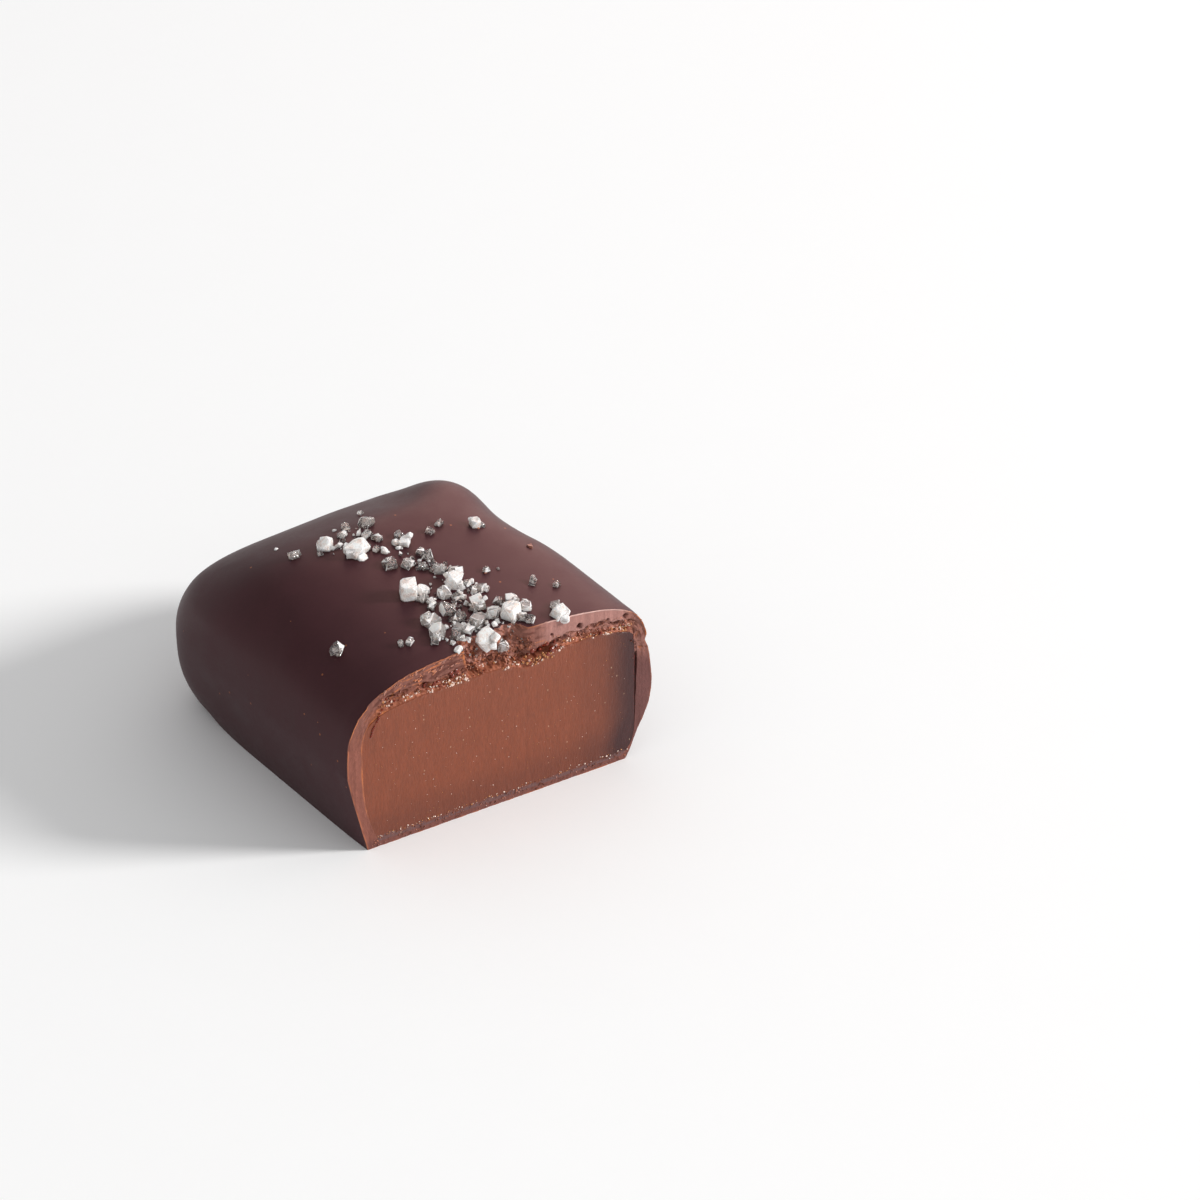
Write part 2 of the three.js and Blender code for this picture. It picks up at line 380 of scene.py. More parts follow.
def filling_crown(x):
    """Height of the filling's top: nearly level, with a dip under the torn edge and a lower right edge."""
    size = candy().sizes
    dip = 0.7 * bell(x, 2.3, 1.4)
    return size.top_height - size.coat_top - dip - 0.55 * smoothstep(x, 8, 11.6)


def coat_form():
    size = candy().sizes
    return {
        "centre_x": 0.0,
        "half_width": size.half_width,
        "length": size.whole_length,
        "back_y": size.back,
        "base": 0.0,
        "corner_power": 6.4,
        "belly": (6.85, 4.65, 6.25),
        "shoulder": (3.33, 6.35, 1.98),
        "tuck": (0.106, 0.159, 0.122),
        "foot_curve": (1.1, 1.2, 2.85),
        "crown": coat_crown,
    }


def filling_form(grow=0.0):
    """The filling's form, larger all round by a given amount."""
    size = candy().sizes
    return {
        "centre_x": -0.1,
        "half_width": size.half_width - size.coat_side + grow,
        "length": size.whole_length,
        "back_y": size.back - size.coat_back + grow,
        "base": size.coat_base - grow,
        "corner_power": 7.0,
        "belly": (7.0, 7.0, 6.0),
        "shoulder": (5.0, 16.0, 2.0),
        "tuck": (0.1, 0.1, 0.08),
        "foot_curve": (2.5, 9.0, 2.5),
        "crown": lambda x, y: filling_crown(x) + grow,
    }


def block_points(cube, form):
    """Lays points of the cube from -1 to 1 onto a drawn-in block with round corners and shoulders."""
    across, along, up = cube[:, 0], cube[:, 1], cube[:, 2]
    reach = np.maximum(np.maximum(np.abs(across), np.abs(along)), 1e-9)
    ux = across / reach
    uy = along / reach
    spread = np.abs(ux) ** form["corner_power"] + np.abs(uy) ** form["corner_power"]
    corner = np.maximum(spread, 1e-9) ** (-1 / form["corner_power"])
    dx = ux * corner
    dy = uy * corner
    rim = smoothstep(reach, 0, 1)
    right = smoothstep(lerp(across, dx, rim), -1, 1)
    back = smoothstep(lerp(along, dy, rim), 0.35, 0.98)

    def blend(values):
        return lerp(lerp(values[0], values[1], right), values[2], back)

    belly = blend(form["belly"])
    power = blend(form["shoulder"])
    tuck = blend(form["tuck"])
    edge = 0.5 ** (1 / power)
    height = (up + 1) / 2
    low = np.clip(height / 0.45, 0, 1)
    high = np.clip((height - 0.45) / 0.55, 0, 1)

    side_rise = edge * high
    side_out = np.where(
        height > 0.45,
        (1 - side_rise**power) ** (1 / power),
        1 - tuck * (1 - low) ** blend(form["foot_curve"]),
    )
    top_out = edge * reach
    top_rise = (1 - top_out**power) ** (1 / power)
    on_top = up >= 1
    on_base = up <= -1
    out = np.where(on_top, top_out, np.where(on_base, (1 - tuck) * reach, side_out))
    rise = np.where(on_top, top_rise, np.where(height > 0.45, side_rise, 0.0))

    half_length = form["length"] / 2
    inset = (form["half_width"] - half_length) * (out - 1) * dy * smoothstep(out, 0.3, 1)
    x = form["centre_x"] + form["half_width"] * out * dx
    y = form["back_y"] - half_length + half_length * out * dy + inset
    foot = np.where(on_base, form["base"], form["base"] + (belly - form["base"]) * low)
    z = np.where(rise > 0, belly + (form["crown"](x, y) - belly) * rise, foot)
    return np.stack([x, y, z], -1)


def cut_y(x):
    size = candy().sizes
    return size.cut + math.tan(size.cut_turn) * x


def coat_points(cube):
    """The coat's outer surface: the block with its slack shoulder, and the edges beside the cut."""
    points = block_points(cube, coat_form())
    x, y, z = points[:, 0].copy(), points[:, 1], points[:, 2].copy()
    slack = bell(y, SLACK["y"], SLACK["reach"]) * smoothstep(x, 7, 12.5) * smoothstep(z, 3, 11)
    from_cut = y - cut_y(x)
    side = smoothstep(x, 10, 12.5)
    burr = bell(z, BURR["z"], BURR["height"]) * bell(from_cut, 0, BURR["reach"]) * side
    nick = bell(z, NICK["z"], NICK["height"]) * bell(from_cut, 0, NICK["reach"]) * side
    low = smoothstep(x, 7, 9.5) * bell(from_cut, 0, FOOT["reach"])
    foot = FOOT["depth"] * (1 - smoothstep(z, 0, FOOT["height"]))
    foot = foot - FOOT["slack"] * bell(z, FOOT["slack_z"], FOOT["slack_height"])
    points[:, 0] += BURR["depth"] * burr - SLACK["depth"] * slack - NICK["depth"] * nick + foot * low
    points[:, 2] -= SLACK["drop"] * slack
    return points


# Meshes


def perimeter(across, up):
    """The cube's section: up the left side, over the top, down the right side and back under the base."""
    rise = np.linspace(-1, 1, up, endpoint=False)
    run = np.linspace(-1, 1, across, endpoint=False)
    left = np.stack([np.full(up, -1.0), rise], -1)
    top = np.stack([run, np.full(across, 1.0)], -1)
    return np.concatenate([left, top, -left, -top])


class Shell:
    """Collects the points and faces of one closed mesh from loops of points."""

    def __init__(self):
        self.points = []
        self.faces = []
        self.count = 0

    def add(self, points):
        points = np.asarray(points, float).reshape(-1, 3)
        start = self.count
        self.points.append(points)
        self.count += len(points)
        return np.arange(start, self.count)

    def bridge(self, first, second):
        """Joins two loops with as many points."""
        a, b = first, second
        self.faces += np.stack([a, np.roll(a, -1), np.roll(b, -1), b], -1).tolist()

    def halve(self, fine, coarse):
        """Joins a loop to one with half its points."""
        even, odd = fine[0::2], fine[1::2]
        after = np.roll(even, -1)
        ahead = np.roll(coarse, -1)
        self.faces += np.stack([even, odd, coarse], -1).tolist()
        self.faces += np.stack([odd, after, ahead], -1).tolist()
        self.faces += np.stack([odd, ahead, coarse], -1).tolist()

    def cap(self, loop, across, up, inner):
        """Closes a loop with a grid that faces backwards. inner holds its points, in rows from the left."""
        ids = np.zeros((across + 1, up + 1), int)
        ids[1:-1, 1:-1] = self.add(inner).reshape(across - 1, up - 1)
        ids[0, :up] = loop[:up]
        ids[:across, up] = loop[up : up + across]
        ids[across, up:0:-1] = loop[up + across : 2 * up + across]
        ids[across:0:-1, 0] = loop[2 * up + across :]
        quads = np.stack([ids[:-1, :-1], ids[:-1, 1:], ids[1:, 1:], ids[1:, :-1]], -1)
        self.faces += quads.reshape(-1, 4).tolist()


def make_mesh(name, points, faces, material, masks=None, sharp=math.radians(50)):
    """A closed mesh piece from points in millimetres, with named masks kept on its points."""
    mesh = bpy.data.meshes.new(name)
    mesh.from_pydata((np.asarray(points) * MM).tolist(), [], faces)
    for mask, values in (masks or {}).items():
        mesh.attributes.new(mask, "FLOAT", "POINT").data.foreach_set("value", np.asarray(values, np.float32))
    work = bmesh.new()
    work.from_mesh(mesh)
    bmesh.ops.recalc_face_normals(work, faces=work.faces)
    work.to_mesh(mesh)
    work.free()
    mesh.polygons.foreach_set("use_smooth", np.ones(len(mesh.polygons), bool))
    mesh.set_sharp_from_angle(angle=sharp)
    mesh.materials.append(material)
    piece = bpy.data.objects.new(name, mesh)
    bpy.context.scene.collection.objects.link(piece)
    return piece


def relax(points, faces, strength, rounds):
    """Evens out a surface: each point moves towards the middle of its neighbours, by its own strength."""
    pairs = []
    for corners in (3, 4):
        some = np.array([face for face in faces if len(face) == corners])
        if len(some):
            pairs.append(np.stack([some, np.roll(some, -1, 1)], -1).reshape(-1, 2))
    pairs = np.unique(np.sort(np.concatenate(pairs), 1), axis=0)
    ends = np.concatenate([pairs[:, 0], pairs[:, 1]])
    others = np.concatenate([pairs[:, 1], pairs[:, 0]])
    moving = strength[ends] > 0
    ends, others = ends[moving], others[moving]
    count = np.maximum(np.bincount(ends, minlength=len(points)), 1)
    for _ in range(rounds):
        middle = [np.bincount(ends, points[others, axis], len(points)) / count for axis in range(3)]
        points = points + strength[:, None] * (np.stack(middle, -1) - points)
    return points


def directions(points, faces):
    """The outward direction at each point of a closed surface."""
    total = np.zeros((len(points), 3))
    volume = 0.0
    for corners in (3, 4):
        some = np.array([face for face in faces if len(face) == corners])
        if not len(some):
            continue
        first, second, third, last = (points[some[:, corner]] for corner in (0, 1, 2, -1))
        diagonals = (third - first, last - second) if corners == 4 else (second - first, third - first)
        across = np.cross(*diagonals)
        volume += np.einsum("ij,ij->", across, first)
        for corner in range(corners):
            for axis in range(3):
                total[:, axis] += np.bincount(some[:, corner], across[:, axis], len(points))
    total /= np.maximum(np.linalg.norm(total, axis=1), 1e-12)[:, None]
    return total if volume > 0 else -total


def on_plane(section, place, depth):
    """Cube points of a surface where it meets the knife's plane, or lies behind it by a depth."""
    low = np.full(len(section), -1.0)
    high = np.full(len(section), 1.0)
    for _ in range(40):
        middle = (low + high) / 2
        cube = np.stack([section[:, 0], middle, section[:, 1]], -1)
        points = place(cube)
        behind = points[:, 1] > cut_y(points[:, 0]) + depth
        high = np.where(behind, middle, high)
        low = np.where(behind, low, middle)
    return cube, points


def blend_loop(section, start, share):
    """Cube points between a loop near the cut and the cube's back face."""
    along = start + (1 - start) * share
    return np.stack([section[:, 0], along, section[:, 1]], -1)


def back_grid(across, up):
    """Cube points inside the back face."""
    x = np.linspace(-1, 1, across + 1)[1:-1]
    z = np.linspace(-1, 1, up + 1)[1:-1]
    grid = np.stack(np.meshgrid(x, z, indexing="ij"), -1).reshape(-1, 2)
    return np.stack([grid[:, 0], np.ones(len(grid)), grid[:, 1]], -1)


# The torn edge


def gouges():
    """The places and sizes of the pits over the filling, drawn in the same order as the solid's."""
    roll = dice(907)

    def skip(count):
        for _ in range(count):
            roll()

    # the bite and the hollow come first
    skip(2 * BLOCK_DRAWS)
    pits = []
    for i in range(PITS["count"]):
        x = pick((PITS["from"], PITS["to"]), (i + 0.7 * roll()) / PITS["count"])
        size = [side * pick((0.6, 1.2), roll()) for side in PITS["size"]]
        z = float(filling_crown(np.float64(x))) + PITS["above"] * pick((0.7, 1.2), roll())
        skip(1 + BLOCK_DRAWS)
        pits.append((x, z, size))
    return pits


def torn_relief(x, z, skin, gap, crown):
    """How far the chocolate lies behind the knife's plane, in millimetres, and the masks for its finish.

    skin is how deep a place lies under the coat's outer edge, and gap how far it is from the filling.
    crown is 1 over the filling, and 0 beside and under it.
    """
    flat = np.stack([x, np.zeros(len(x)), z], -1)

    # relief of several sizes: broken shards, flakes along the filling, soft lumps and grain
    coarse, coarse_seam = shards(x, z, 0.6, 11)
    fine, fine_seam = shards(x, z, 0.22, 23)
    flake, flake_seam = shards(0.4 * x, 1.3 * gap, 0.42, 37)
    soft = ripple(flat, 0.9, 5)
    grain = ripple(flat, 0.12, 7)

    # where the coat broke: a band over the filling, its wet lower part, the bite and the hollow
    reach = 1.05 + 0.2 * ripple(flat * [1, 1, 0], 1.1, 3) + 0.1 * ripple(flat * [1, 1, 0], 0.35, 4)
    band = smoothstep(reach - gap, -0.06, 0.1) * crown
    low_band = smoothstep(0.5 + 0.12 * soft - gap, -0.1, 0.15) * crown
    lip_end = -3.07 + 0.17 * (14.7 - z) + 0.08 * ripple(flat, 0.3, 15)
    start = smoothstep(x, lip_end - 0.04, lip_end + 0.05)
    end = 1 - smoothstep(x + 0.6 * soft, 1.3, 2.9)
    bite = smoothstep(start * end * smoothstep(z, 11.9, 12.6) + 0.5 * (fine - 0.5) * end * start, 0.25, 0.75)

    across = (x - HOLLOW["x"]) / (HOLLOW["width"] / 2)
    lift = (z - HOLLOW["z"] - 0.18 * (x - HOLLOW["x"])) / (HOLLOW["height"] / 2)
    hollow = 1 - smoothstep(across**2 + lift**2 + 0.3 * soft, 0.5, 1.2)

    # how deep each of them is
    depth = 0.012 * grain
    depth = depth + band * (1 - low_band) * (0.08 + 0.2 * flake + 0.05 * fine + 0.02 * grain)
    level = 0.25 + 0.75 * smoothstep(gap, 0.02, 0.25)
    depth = depth + low_band * level * (0.05 + 0.16 * coarse + 0.1 * fine + 0.03 * grain)
    slope = 0.1 + 0.7 * smoothstep(z, 12.3, 15.2)
    crumbled = 0.3 * coarse + 0.24 * fine + 0.08 * ripple(flat, 0.2, 17)
    depth = depth + bite * (slope * end + crumbled)
    depth = depth + hollow * (HOLLOW["depth"] + 0.08 * fine)

    # the pits and the small holes
    wet_shaded_pits = np.zeros(len(x))
    for px, pz, size in gouges():
        inside = ((x - px) / (size[0] / 2)) ** 2 + ((z - pz) / (size[2] / 2)) ** 2 + 0.35 * soft
        here = 1 - smoothstep(inside, 0.45, 1.1)
        depth = depth + 0.22 * size[1] * here * (1 - 0.6 * hollow) * (1 - 0.7 * bite)
        wet_shaded_pits = np.maximum(wet_shaded_pits, 0.6 * here)
    for px, pz, width in HOLES:
        here = 1 - smoothstep(np.hypot(x - px, z - pz) / width + 0.5 * soft + 0.25 * grain, 0.5, 1.1)
        depth = depth + 0.3 * here
        wet_shaded_pits = np.maximum(wet_shaded_pits, here)

    # the groove beside the filling on the right, and the rough fold over it
    groove = smoothstep(0.24 + 0.06 * soft - gap, -0.05, 0.05) * smoothstep(x, 10.6, 11.0)
    groove = groove * smoothstep(z, 2.2, 3.6) * (1 - smoothstep(z, 8.8, 9.6))
    depth = depth + 0.45 * groove
    fold = smoothstep(x, 10.2, 11.2) * smoothstep(z + 0.5 * soft, 8.2, 10.2)
    fold = fold * (1 - smoothstep(z, 12.9, 13.6))
    depth = depth + fold * (0.06 + 0.16 * coarse * fine + 0.05 * ripple(flat * [2.2, 1, 0.6], 0.5, 19))

    # the thin raised edge along the skin
    edge = smoothstep(0.13 - skin, 0, 0.07) * (1 - bite)
    lip = np.clip(0.6 + 0.7 * ripple(flat, 0.6, 9) + 0.4 * ripple(flat, 0.2, 13), 0, 1)
    lip = lip * (0.4 + 0.6 * smoothstep(z, 8, 11))
    lip = np.maximum(lip, 0.75 * smoothstep(x, 3, 4.5) * smoothstep(11 - x, 0, 1) * smoothstep(z, 12, 13))
    curl = bell(x, lip_end - 0.1, 0.12) * smoothstep(z, 13.2, 13.8) * (1 - start)
    depth = depth - 0.07 * edge * lip + 0.03 * edge * (1 - lip) - 0.06 * curl

    # masks for the finish: wet places, which also take the painted shade of pits, holes, the hollow and the
    # groove, flakes, layers in the coat and its inner line
    wet = np.maximum(np.maximum(wet_shaded_pits, hollow), groove)
    right = smoothstep(x, 2.6, 4.4)
    upper = smoothstep(z, 9.5, 11.5)
    flakes = flake_seam * smoothstep(flake, 0.45, 0.6) * band * (1 - low_band) * (1 - right)
    layers = ripple(np.stack([0.9 * x, 0 * x, 5.2 * skin + 0.4 * soft], -1), 1.0, 71)
    layers = layers + 0.5 * ripple(np.stack([2.2 * x, 0 * x, 9 * skin], -1), 1.0, 73)
    upper_left = (1 - right) * upper * (1 - bite) * smoothstep(skin, 0.1, 0.25)
    inner_line = bell(gap, 0.04, 0.07) * (1 - smoothstep(x, -10, -9)) * smoothstep(z, 2, 4)
    inner_line = inner_line * (0.55 + 0.6 * ripple(flat, 0.7, 75))
    return depth, {
        "band": np.clip(band * (0.35 + 0.65 * low_band) + 0.8 * hollow, 0, 1),
        "torn": np.clip(bite + 0.45 * fold, 0, 1),
        "wet_shaded_pits": np.clip(wet, 0, 1),
        "burr": np.clip(edge * lip + curl + 0.8 * flakes + np.maximum(inner_line, 0), 0, 1),
        "dark_layer": smoothstep(-layers, 0.1, 0.5) * upper_left,
        "bright_layer": smoothstep(layers, 0.55, 0.9) * upper_left,
        "seam": np.clip(0.6 * coarse_seam + 0.5 * fine_seam, 0, 1) * np.maximum(bite, low_band),
        "tone": np.clip(0.55 * coarse + 0.45 * fine, 0, 1),
        # pale: painted light on the cut coat at the top right, where it tilts up into the light
        "pale": right * upper * smoothstep(11.6 - x, 0, 1.5),
        "warm": (1 - right) * upper,
        "dim": np.maximum(smoothstep(x, 10.6, 11.6), 0.6 * (1 - smoothstep(z, 0.5, 1.0))),
    }


# Materials


class Graph:
    """Adds nodes to a tree and links them, from left to right."""

    def __init__(self, tree):
        self.tree = tree
        self.count = 0

    def node(self, kind, inputs=None, **settings):
        node = self.tree.nodes.new(kind)
        node.location = (180 * self.count, -60 * (self.count % 5))
        self.count += 1
        for name, value in settings.items():
            setattr(node, name, value)
        for name, value in (inputs or {}).items():
            self.feed(node.inputs[name], value)
        return node

    def feed(self, socket, value):
        if isinstance(value, bpy.types.NodeSocket):
            self.tree.links.new(value, socket)
        else:
            socket.default_value = value

    def math(self, operation, first, second):
        return self.node("ShaderNodeMath", {0: first, 1: second}, operation=operation).outputs[0]

    def times(self, first, second):
        return self.math("MULTIPLY", first, second)

    def plus(self, first, second):
        return self.math("ADD", first, second)

    def noise(self, place, scale, detail=3.0, roughness=0.55):
        inputs = {"Vector": place, "Scale": scale, "Detail": detail, "Roughness": roughness}
        return self.node("ShaderNodeTexNoise", inputs).outputs["Fac"]

    def span(self, value, from_low, from_high, to_low=0.0, to_high=1.0):
        inputs = {"Value": value, "From Min": from_low, "From Max": from_high}
        inputs |= {"To Min": to_low, "To Max": to_high}
        return self.node("ShaderNodeMapRange", inputs).outputs["Result"]

    def mix(self, share, first, second):
        return self.node("ShaderNodeMix", {0: share, 6: first, 7: second}, data_type="RGBA").outputs[2]

    def mask(self, name):
        return self.node("ShaderNodeAttribute", attribute_name=name).outputs["Fac"]

    def place(self, stretch=(1.0, 1.0, 1.0)):
        """Positions on the piece in millimetres, with each axis stretched."""
        where = self.node("ShaderNodeTexCoord").outputs["Object"]
        scale = tuple(share / MM for share in stretch)
        return self.node("ShaderNodeMapping", {"Vector": where, "Scale": scale}).outputs["Vector"]


def new_group(name, inputs, outputs):
    """A node group that takes a place and some values, and gives values."""
    group = bpy.data.node_groups.new(name, "ShaderNodeTree")
    group.interface.new_socket(name="Place", in_out="INPUT", socket_type="NodeSocketVector")
    for socket, value in inputs.items():
        made = group.interface.new_socket(name=socket, in_out="INPUT", socket_type="NodeSocketFloat")
        made.default_value = value
    for socket in outputs:
        group.interface.new_socket(name=socket, in_out="OUTPUT", socket_type="NodeSocketFloat")
    graph = Graph(group)
    return group, graph, graph.node("NodeGroupInput").outputs, graph.node("NodeGroupOutput").inputs


def grain_group():
    """Uneven colour and a fine rough surface, at two scales."""
    name = "fine grain"
    if name in bpy.data.node_groups:
        return bpy.data.node_groups[name]
    group, graph, given, out = new_group(name, {"Size": 1.0, "Contrast": 0.3}, ["Value", "Height"])
    scale = graph.math("DIVIDE", 1.0, given["Size"])
    broad = graph.noise(given["Place"], scale, 4.0)
    close = graph.noise(given["Place"], graph.times(scale, 7.0), 3.0)
    both = graph.plus(graph.times(broad, 0.65), graph.times(close, 0.35))
    shade = graph.times(graph.math("SUBTRACT", both, 0.5), given["Contrast"])
    graph.feed(out["Value"], graph.plus(shade, 1.0))
    graph.feed(out["Height"], both)
    return group


def specks_group():
    """Scattered small round specks, as a mask."""
    name = "scattered specks"
    if name in bpy.data.node_groups:
        return bpy.data.node_groups[name]
    group, graph, given, out = new_group(name, {"Spacing": 1.0, "Radius": 0.1, "Share": 0.5}, ["Mask"])
    scale = graph.math("DIVIDE", 1.0, given["Spacing"])
    cells = graph.node("ShaderNodeTexVoronoi", {"Vector": given["Place"], "Scale": scale})
    chance = graph.node("ShaderNodeSeparateColor", {"Color": cells.outputs["Color"]}).outputs[0]
    chosen = graph.math("LESS_THAN", chance, given["Share"])
    near = graph.math("LESS_THAN", cells.outputs["Distance"], given["Radius"])
    graph.feed(out["Mask"], graph.times(chosen, near))
    return group


def use_group(graph, group, inputs):
    node = graph.node("ShaderNodeGroup", node_tree=group)
    for name, value in inputs.items():
        graph.feed(node.inputs[name], value)
    return node.outputs


def scaled(graph, colour, value):
    """A colour made lighter or darker by a value."""
    inputs = {0: 1.0, 6: colour, 7: value}
    return graph.node("ShaderNodeMix", inputs, data_type="RGBA", blend_type="MULTIPLY").outputs[2]


def new_material(name, **fixed):
    material = bpy.data.materials.new(name)
    material.use_nodes = True
    tree = material.node_tree
    tree.nodes.clear()
    graph = Graph(tree)
    shader = graph.node("ShaderNodeBsdfPrincipled")
    for socket, value in fixed.items():
        shader.inputs[socket.replace("_", " ")].default_value = value
    output = graph.node("ShaderNodeOutputMaterial")
    tree.links.new(shader.outputs[0], output.inputs["Surface"])
    return material, graph, shader.inputs


def paint(name):
    return (*getattr(candy().colours, name), 1.0)


def bump(graph, height, distance, strength=1.0):
    """A bump of a height in millimetres."""
    inputs = {"Height": height, "Distance": distance * MM, "Strength": strength}
    return graph.node("ShaderNodeBump", inputs).outputs["Normal"]


def chocolate_material():
    """Satin skin outside with painted shade round the salt, a duller cut face with painted light at its top
    right, and wet, torn and burred places on it, with painted shade in the pits and seams and painted light
    through the thin burrs.
    """
    material, graph, shader = new_material("dark chocolate", IOR=1.45, Specular_IOR_Level=0.25)
    shader["Specular Tint"].default_value = (1.0, 0.56, 0.52, 1.0)
    place = graph.place()
    grain = use_group(graph, grain_group(), {"Place": place, "Size": 2.2, "Contrast": 0.5})
    close = use_group(graph, grain_group(), {"Place": place, "Size": 0.35, "Contrast": 0.7})
    drag = graph.noise(graph.place((3.6, 0.6, 0.3)), 1.0, 4.0)
    scattered = {"Place": place, "Spacing": 1.3, "Radius": 0.07, "Share": 0.35}
    specks = use_group(graph, specks_group(), scattered)["Mask"]
    section, band, torn, wet_shaded_pits = (graph.mask(name) for name in ("section", "band", "torn", "wet_shaded_pits"))
    burr, seam, tone, pale = (graph.mask(name) for name in ("burr", "seam", "tone", "pale"))
    warm, dim, shade_round_salt = (graph.mask(name) for name in ("warm", "dim", "shade_round_salt"))

    skin = scaled(graph, paint("coat"), grain["Value"])
    skin = graph.mix(graph.times(specks, 0.8), skin, paint("speck"))
    # painted shade round the salt: the crystals' shadows and the sheen they hide
    skin = graph.mix(graph.times(shade_round_salt, 0.8), skin, paint("shade_round_salt"))
    face = graph.mix(warm, paint("section"), paint("section_left"))
    # painted light: the cut coat at the top right is lighter where it tilts up into the light
    face = graph.mix(pale, face, paint("section_top_right_lit"))
    face = graph.mix(dim, face, paint("section_side"))
    face = graph.mix(graph.times(graph.mask("dark_layer"), 0.75), face, paint("layer"))
    face = graph.mix(graph.times(graph.mask("bright_layer"), 0.7), face, paint("glint"))
    face = scaled(graph, face, close["Value"])
    face = scaled(graph, face, graph.span(drag, 0.35, 0.65, 0.85, 1.12))
    bright = graph.plus(graph.times(tone, 0.7), graph.times(close["Height"], 0.6))
    broken = graph.mix(graph.span(bright, 0.3, 0.62), paint("wet"), paint("torn"))
    broken = graph.mix(graph.span(bright, 0.78, 0.95), broken, paint("glint"))
    wet = graph.mix(graph.span(bright, 0.4, 0.75), paint("wet"), paint("crumb"))
    wet = graph.mix(graph.span(bright, 0.82, 1.0), wet, paint("glint"))
    face = graph.mix(torn, face, broken)
    face = graph.mix(band, face, wet)
    # the raised edges are real; their bright orange is painted light shining through the thin chocolate
    raised = graph.mix(pale, paint("burr"), paint("burr_top_right_lit"))
    face = graph.mix(graph.times(burr, 0.85), face, raised)
    # painted shade in the seams between shards and at the bottom of the pits, holes, hollow and groove
    face = graph.mix(graph.times(seam, 0.5), face, paint("wet_shaded_pits"))
    face = graph.mix(graph.times(wet_shaded_pits, 0.85), face, paint("wet_shaded_pits"))
    graph.feed(shader["Base Color"], graph.mix(section, skin, face))

    rough_skin = graph.span(grain["Height"], 0.35, 0.65, 0.42, 0.5)
    rough_face = graph.span(close["Height"], 0.4, 0.6, 0.5, 0.62)
    dry = graph.node("ShaderNodeMix", {0: section, 2: rough_skin, 3: rough_face}).outputs[0]
    damp_share = graph.math("MAXIMUM", band, graph.times(wet_shaded_pits, 0.9))
    damp_skin = graph.node("ShaderNodeMix", {0: damp_share, 2: dry, 3: 0.2}).outputs[0]
    graph.feed(shader["Roughness"], damp_skin)
    height = graph.plus(close["Height"], graph.times(specks, 0.4))
    lift = graph.times(height, graph.plus(graph.times(section, 0.9), 0.1))
    graph.feed(shader["Normal"], bump(graph, lift, 0.05))
    return material


def caramel_material():
    """Smooth chewy caramel, dragged by the knife, and darker towards its right edge and its bottom."""
    material, graph, shader = new_material("caramel", IOR=1.48, Subsurface_Weight=0.1)
    shader["Subsurface Radius"].default_value = (1.0, 0.45, 0.2)
    shader["Subsurface Scale"].default_value = 1.0 * MM
    place = graph.place()
    strokes = graph.noise(graph.place((2.6, 1.0, 0.5)), 1.0, 4.0, 0.6)
    dashes = graph.noise(graph.place((9.0, 1.0, 2.2)), 1.0, 3.0, 0.6)
    grain = use_group(graph, grain_group(), {"Place": place, "Size": 3.0, "Contrast": 0.3})
    close = use_group(graph, grain_group(), {"Place": place, "Size": 0.3, "Contrast": 0.3})
    scattered = {"Place": graph.place((1.0, 1.0, 0.7)), "Spacing": 0.55, "Radius": 0.1, "Share": 0.2}
    specks = use_group(graph, specks_group(), scattered)["Mask"]
    body = scaled(graph, paint("caramel"), grain["Value"])
    body = scaled(graph, body, graph.span(strokes, 0.35, 0.65, 0.96, 1.04))
    body = scaled(graph, body, graph.span(dashes, 0.3, 0.7, 0.9, 1.12))
    body = graph.mix(graph.mask("shade"), body, paint("caramel_edge"))
    body = graph.mix(graph.mask("smear"), body, paint("section_side"))
    # painted highlights: small pale specks that stand for the sparkle of tiny bubbles
    body = graph.mix(graph.times(specks, 0.4), body, paint("caramel_highlight_speck"))
    graph.feed(shader["Base Color"], body)
    graph.feed(shader["Roughness"], graph.span(close["Height"], 0.35, 0.65, 0.34, 0.48))
    height = graph.plus(graph.times(dashes, 0.6), graph.times(close["Height"], 0.4))
    height = graph.plus(height, graph.times(specks, 0.6))
    graph.feed(shader["Normal"], bump(graph, height, 0.05))
    return material


def salt_material(name, clear, dull, glow):
    """Clouded or clear salt, rough where it broke. The glow stands for light that is scattered inside."""
    fixed = {"Transmission_Weight": clear, "Subsurface_Weight": 1.0, "Subsurface_Scale": 0.35 * MM}
    material, graph, shader = new_material(name, IOR=1.544, **fixed)
    shader["Subsurface Radius"].default_value = (1.0, 0.97, 0.93)
    place = graph.place()
    grain = use_group(graph, grain_group(), {"Place": place, "Size": 0.5, "Contrast": 0.5})
    cracks = graph.node("ShaderNodeTexVoronoi", {"Vector": place, "Scale": 4.5}, feature="DISTANCE_TO_EDGE")
    crack = graph.span(cracks.outputs["Distance"], 0.0, 0.12, 0.0, 1.0)
    body = graph.mix(graph.span(grain["Height"], 0.36, 0.5), paint("salt_shade"), paint("salt"))
    graph.feed(shader["Base Color"], body)
    # painted light: the salt glows with its own colour, standing for light scattered inside
    graph.feed(shader["Emission Color"], body)
    shader["Emission Strength"].default_value = glow
    graph.feed(shader["Roughness"], graph.span(grain["Height"], 0.38, 0.62, 0.4 * dull, 1.3 * dull))
    height = graph.plus(graph.times(crack, 0.4), graph.times(grain["Height"], 0.9))
    graph.feed(shader["Normal"], bump(graph, height, 0.1))
    return material


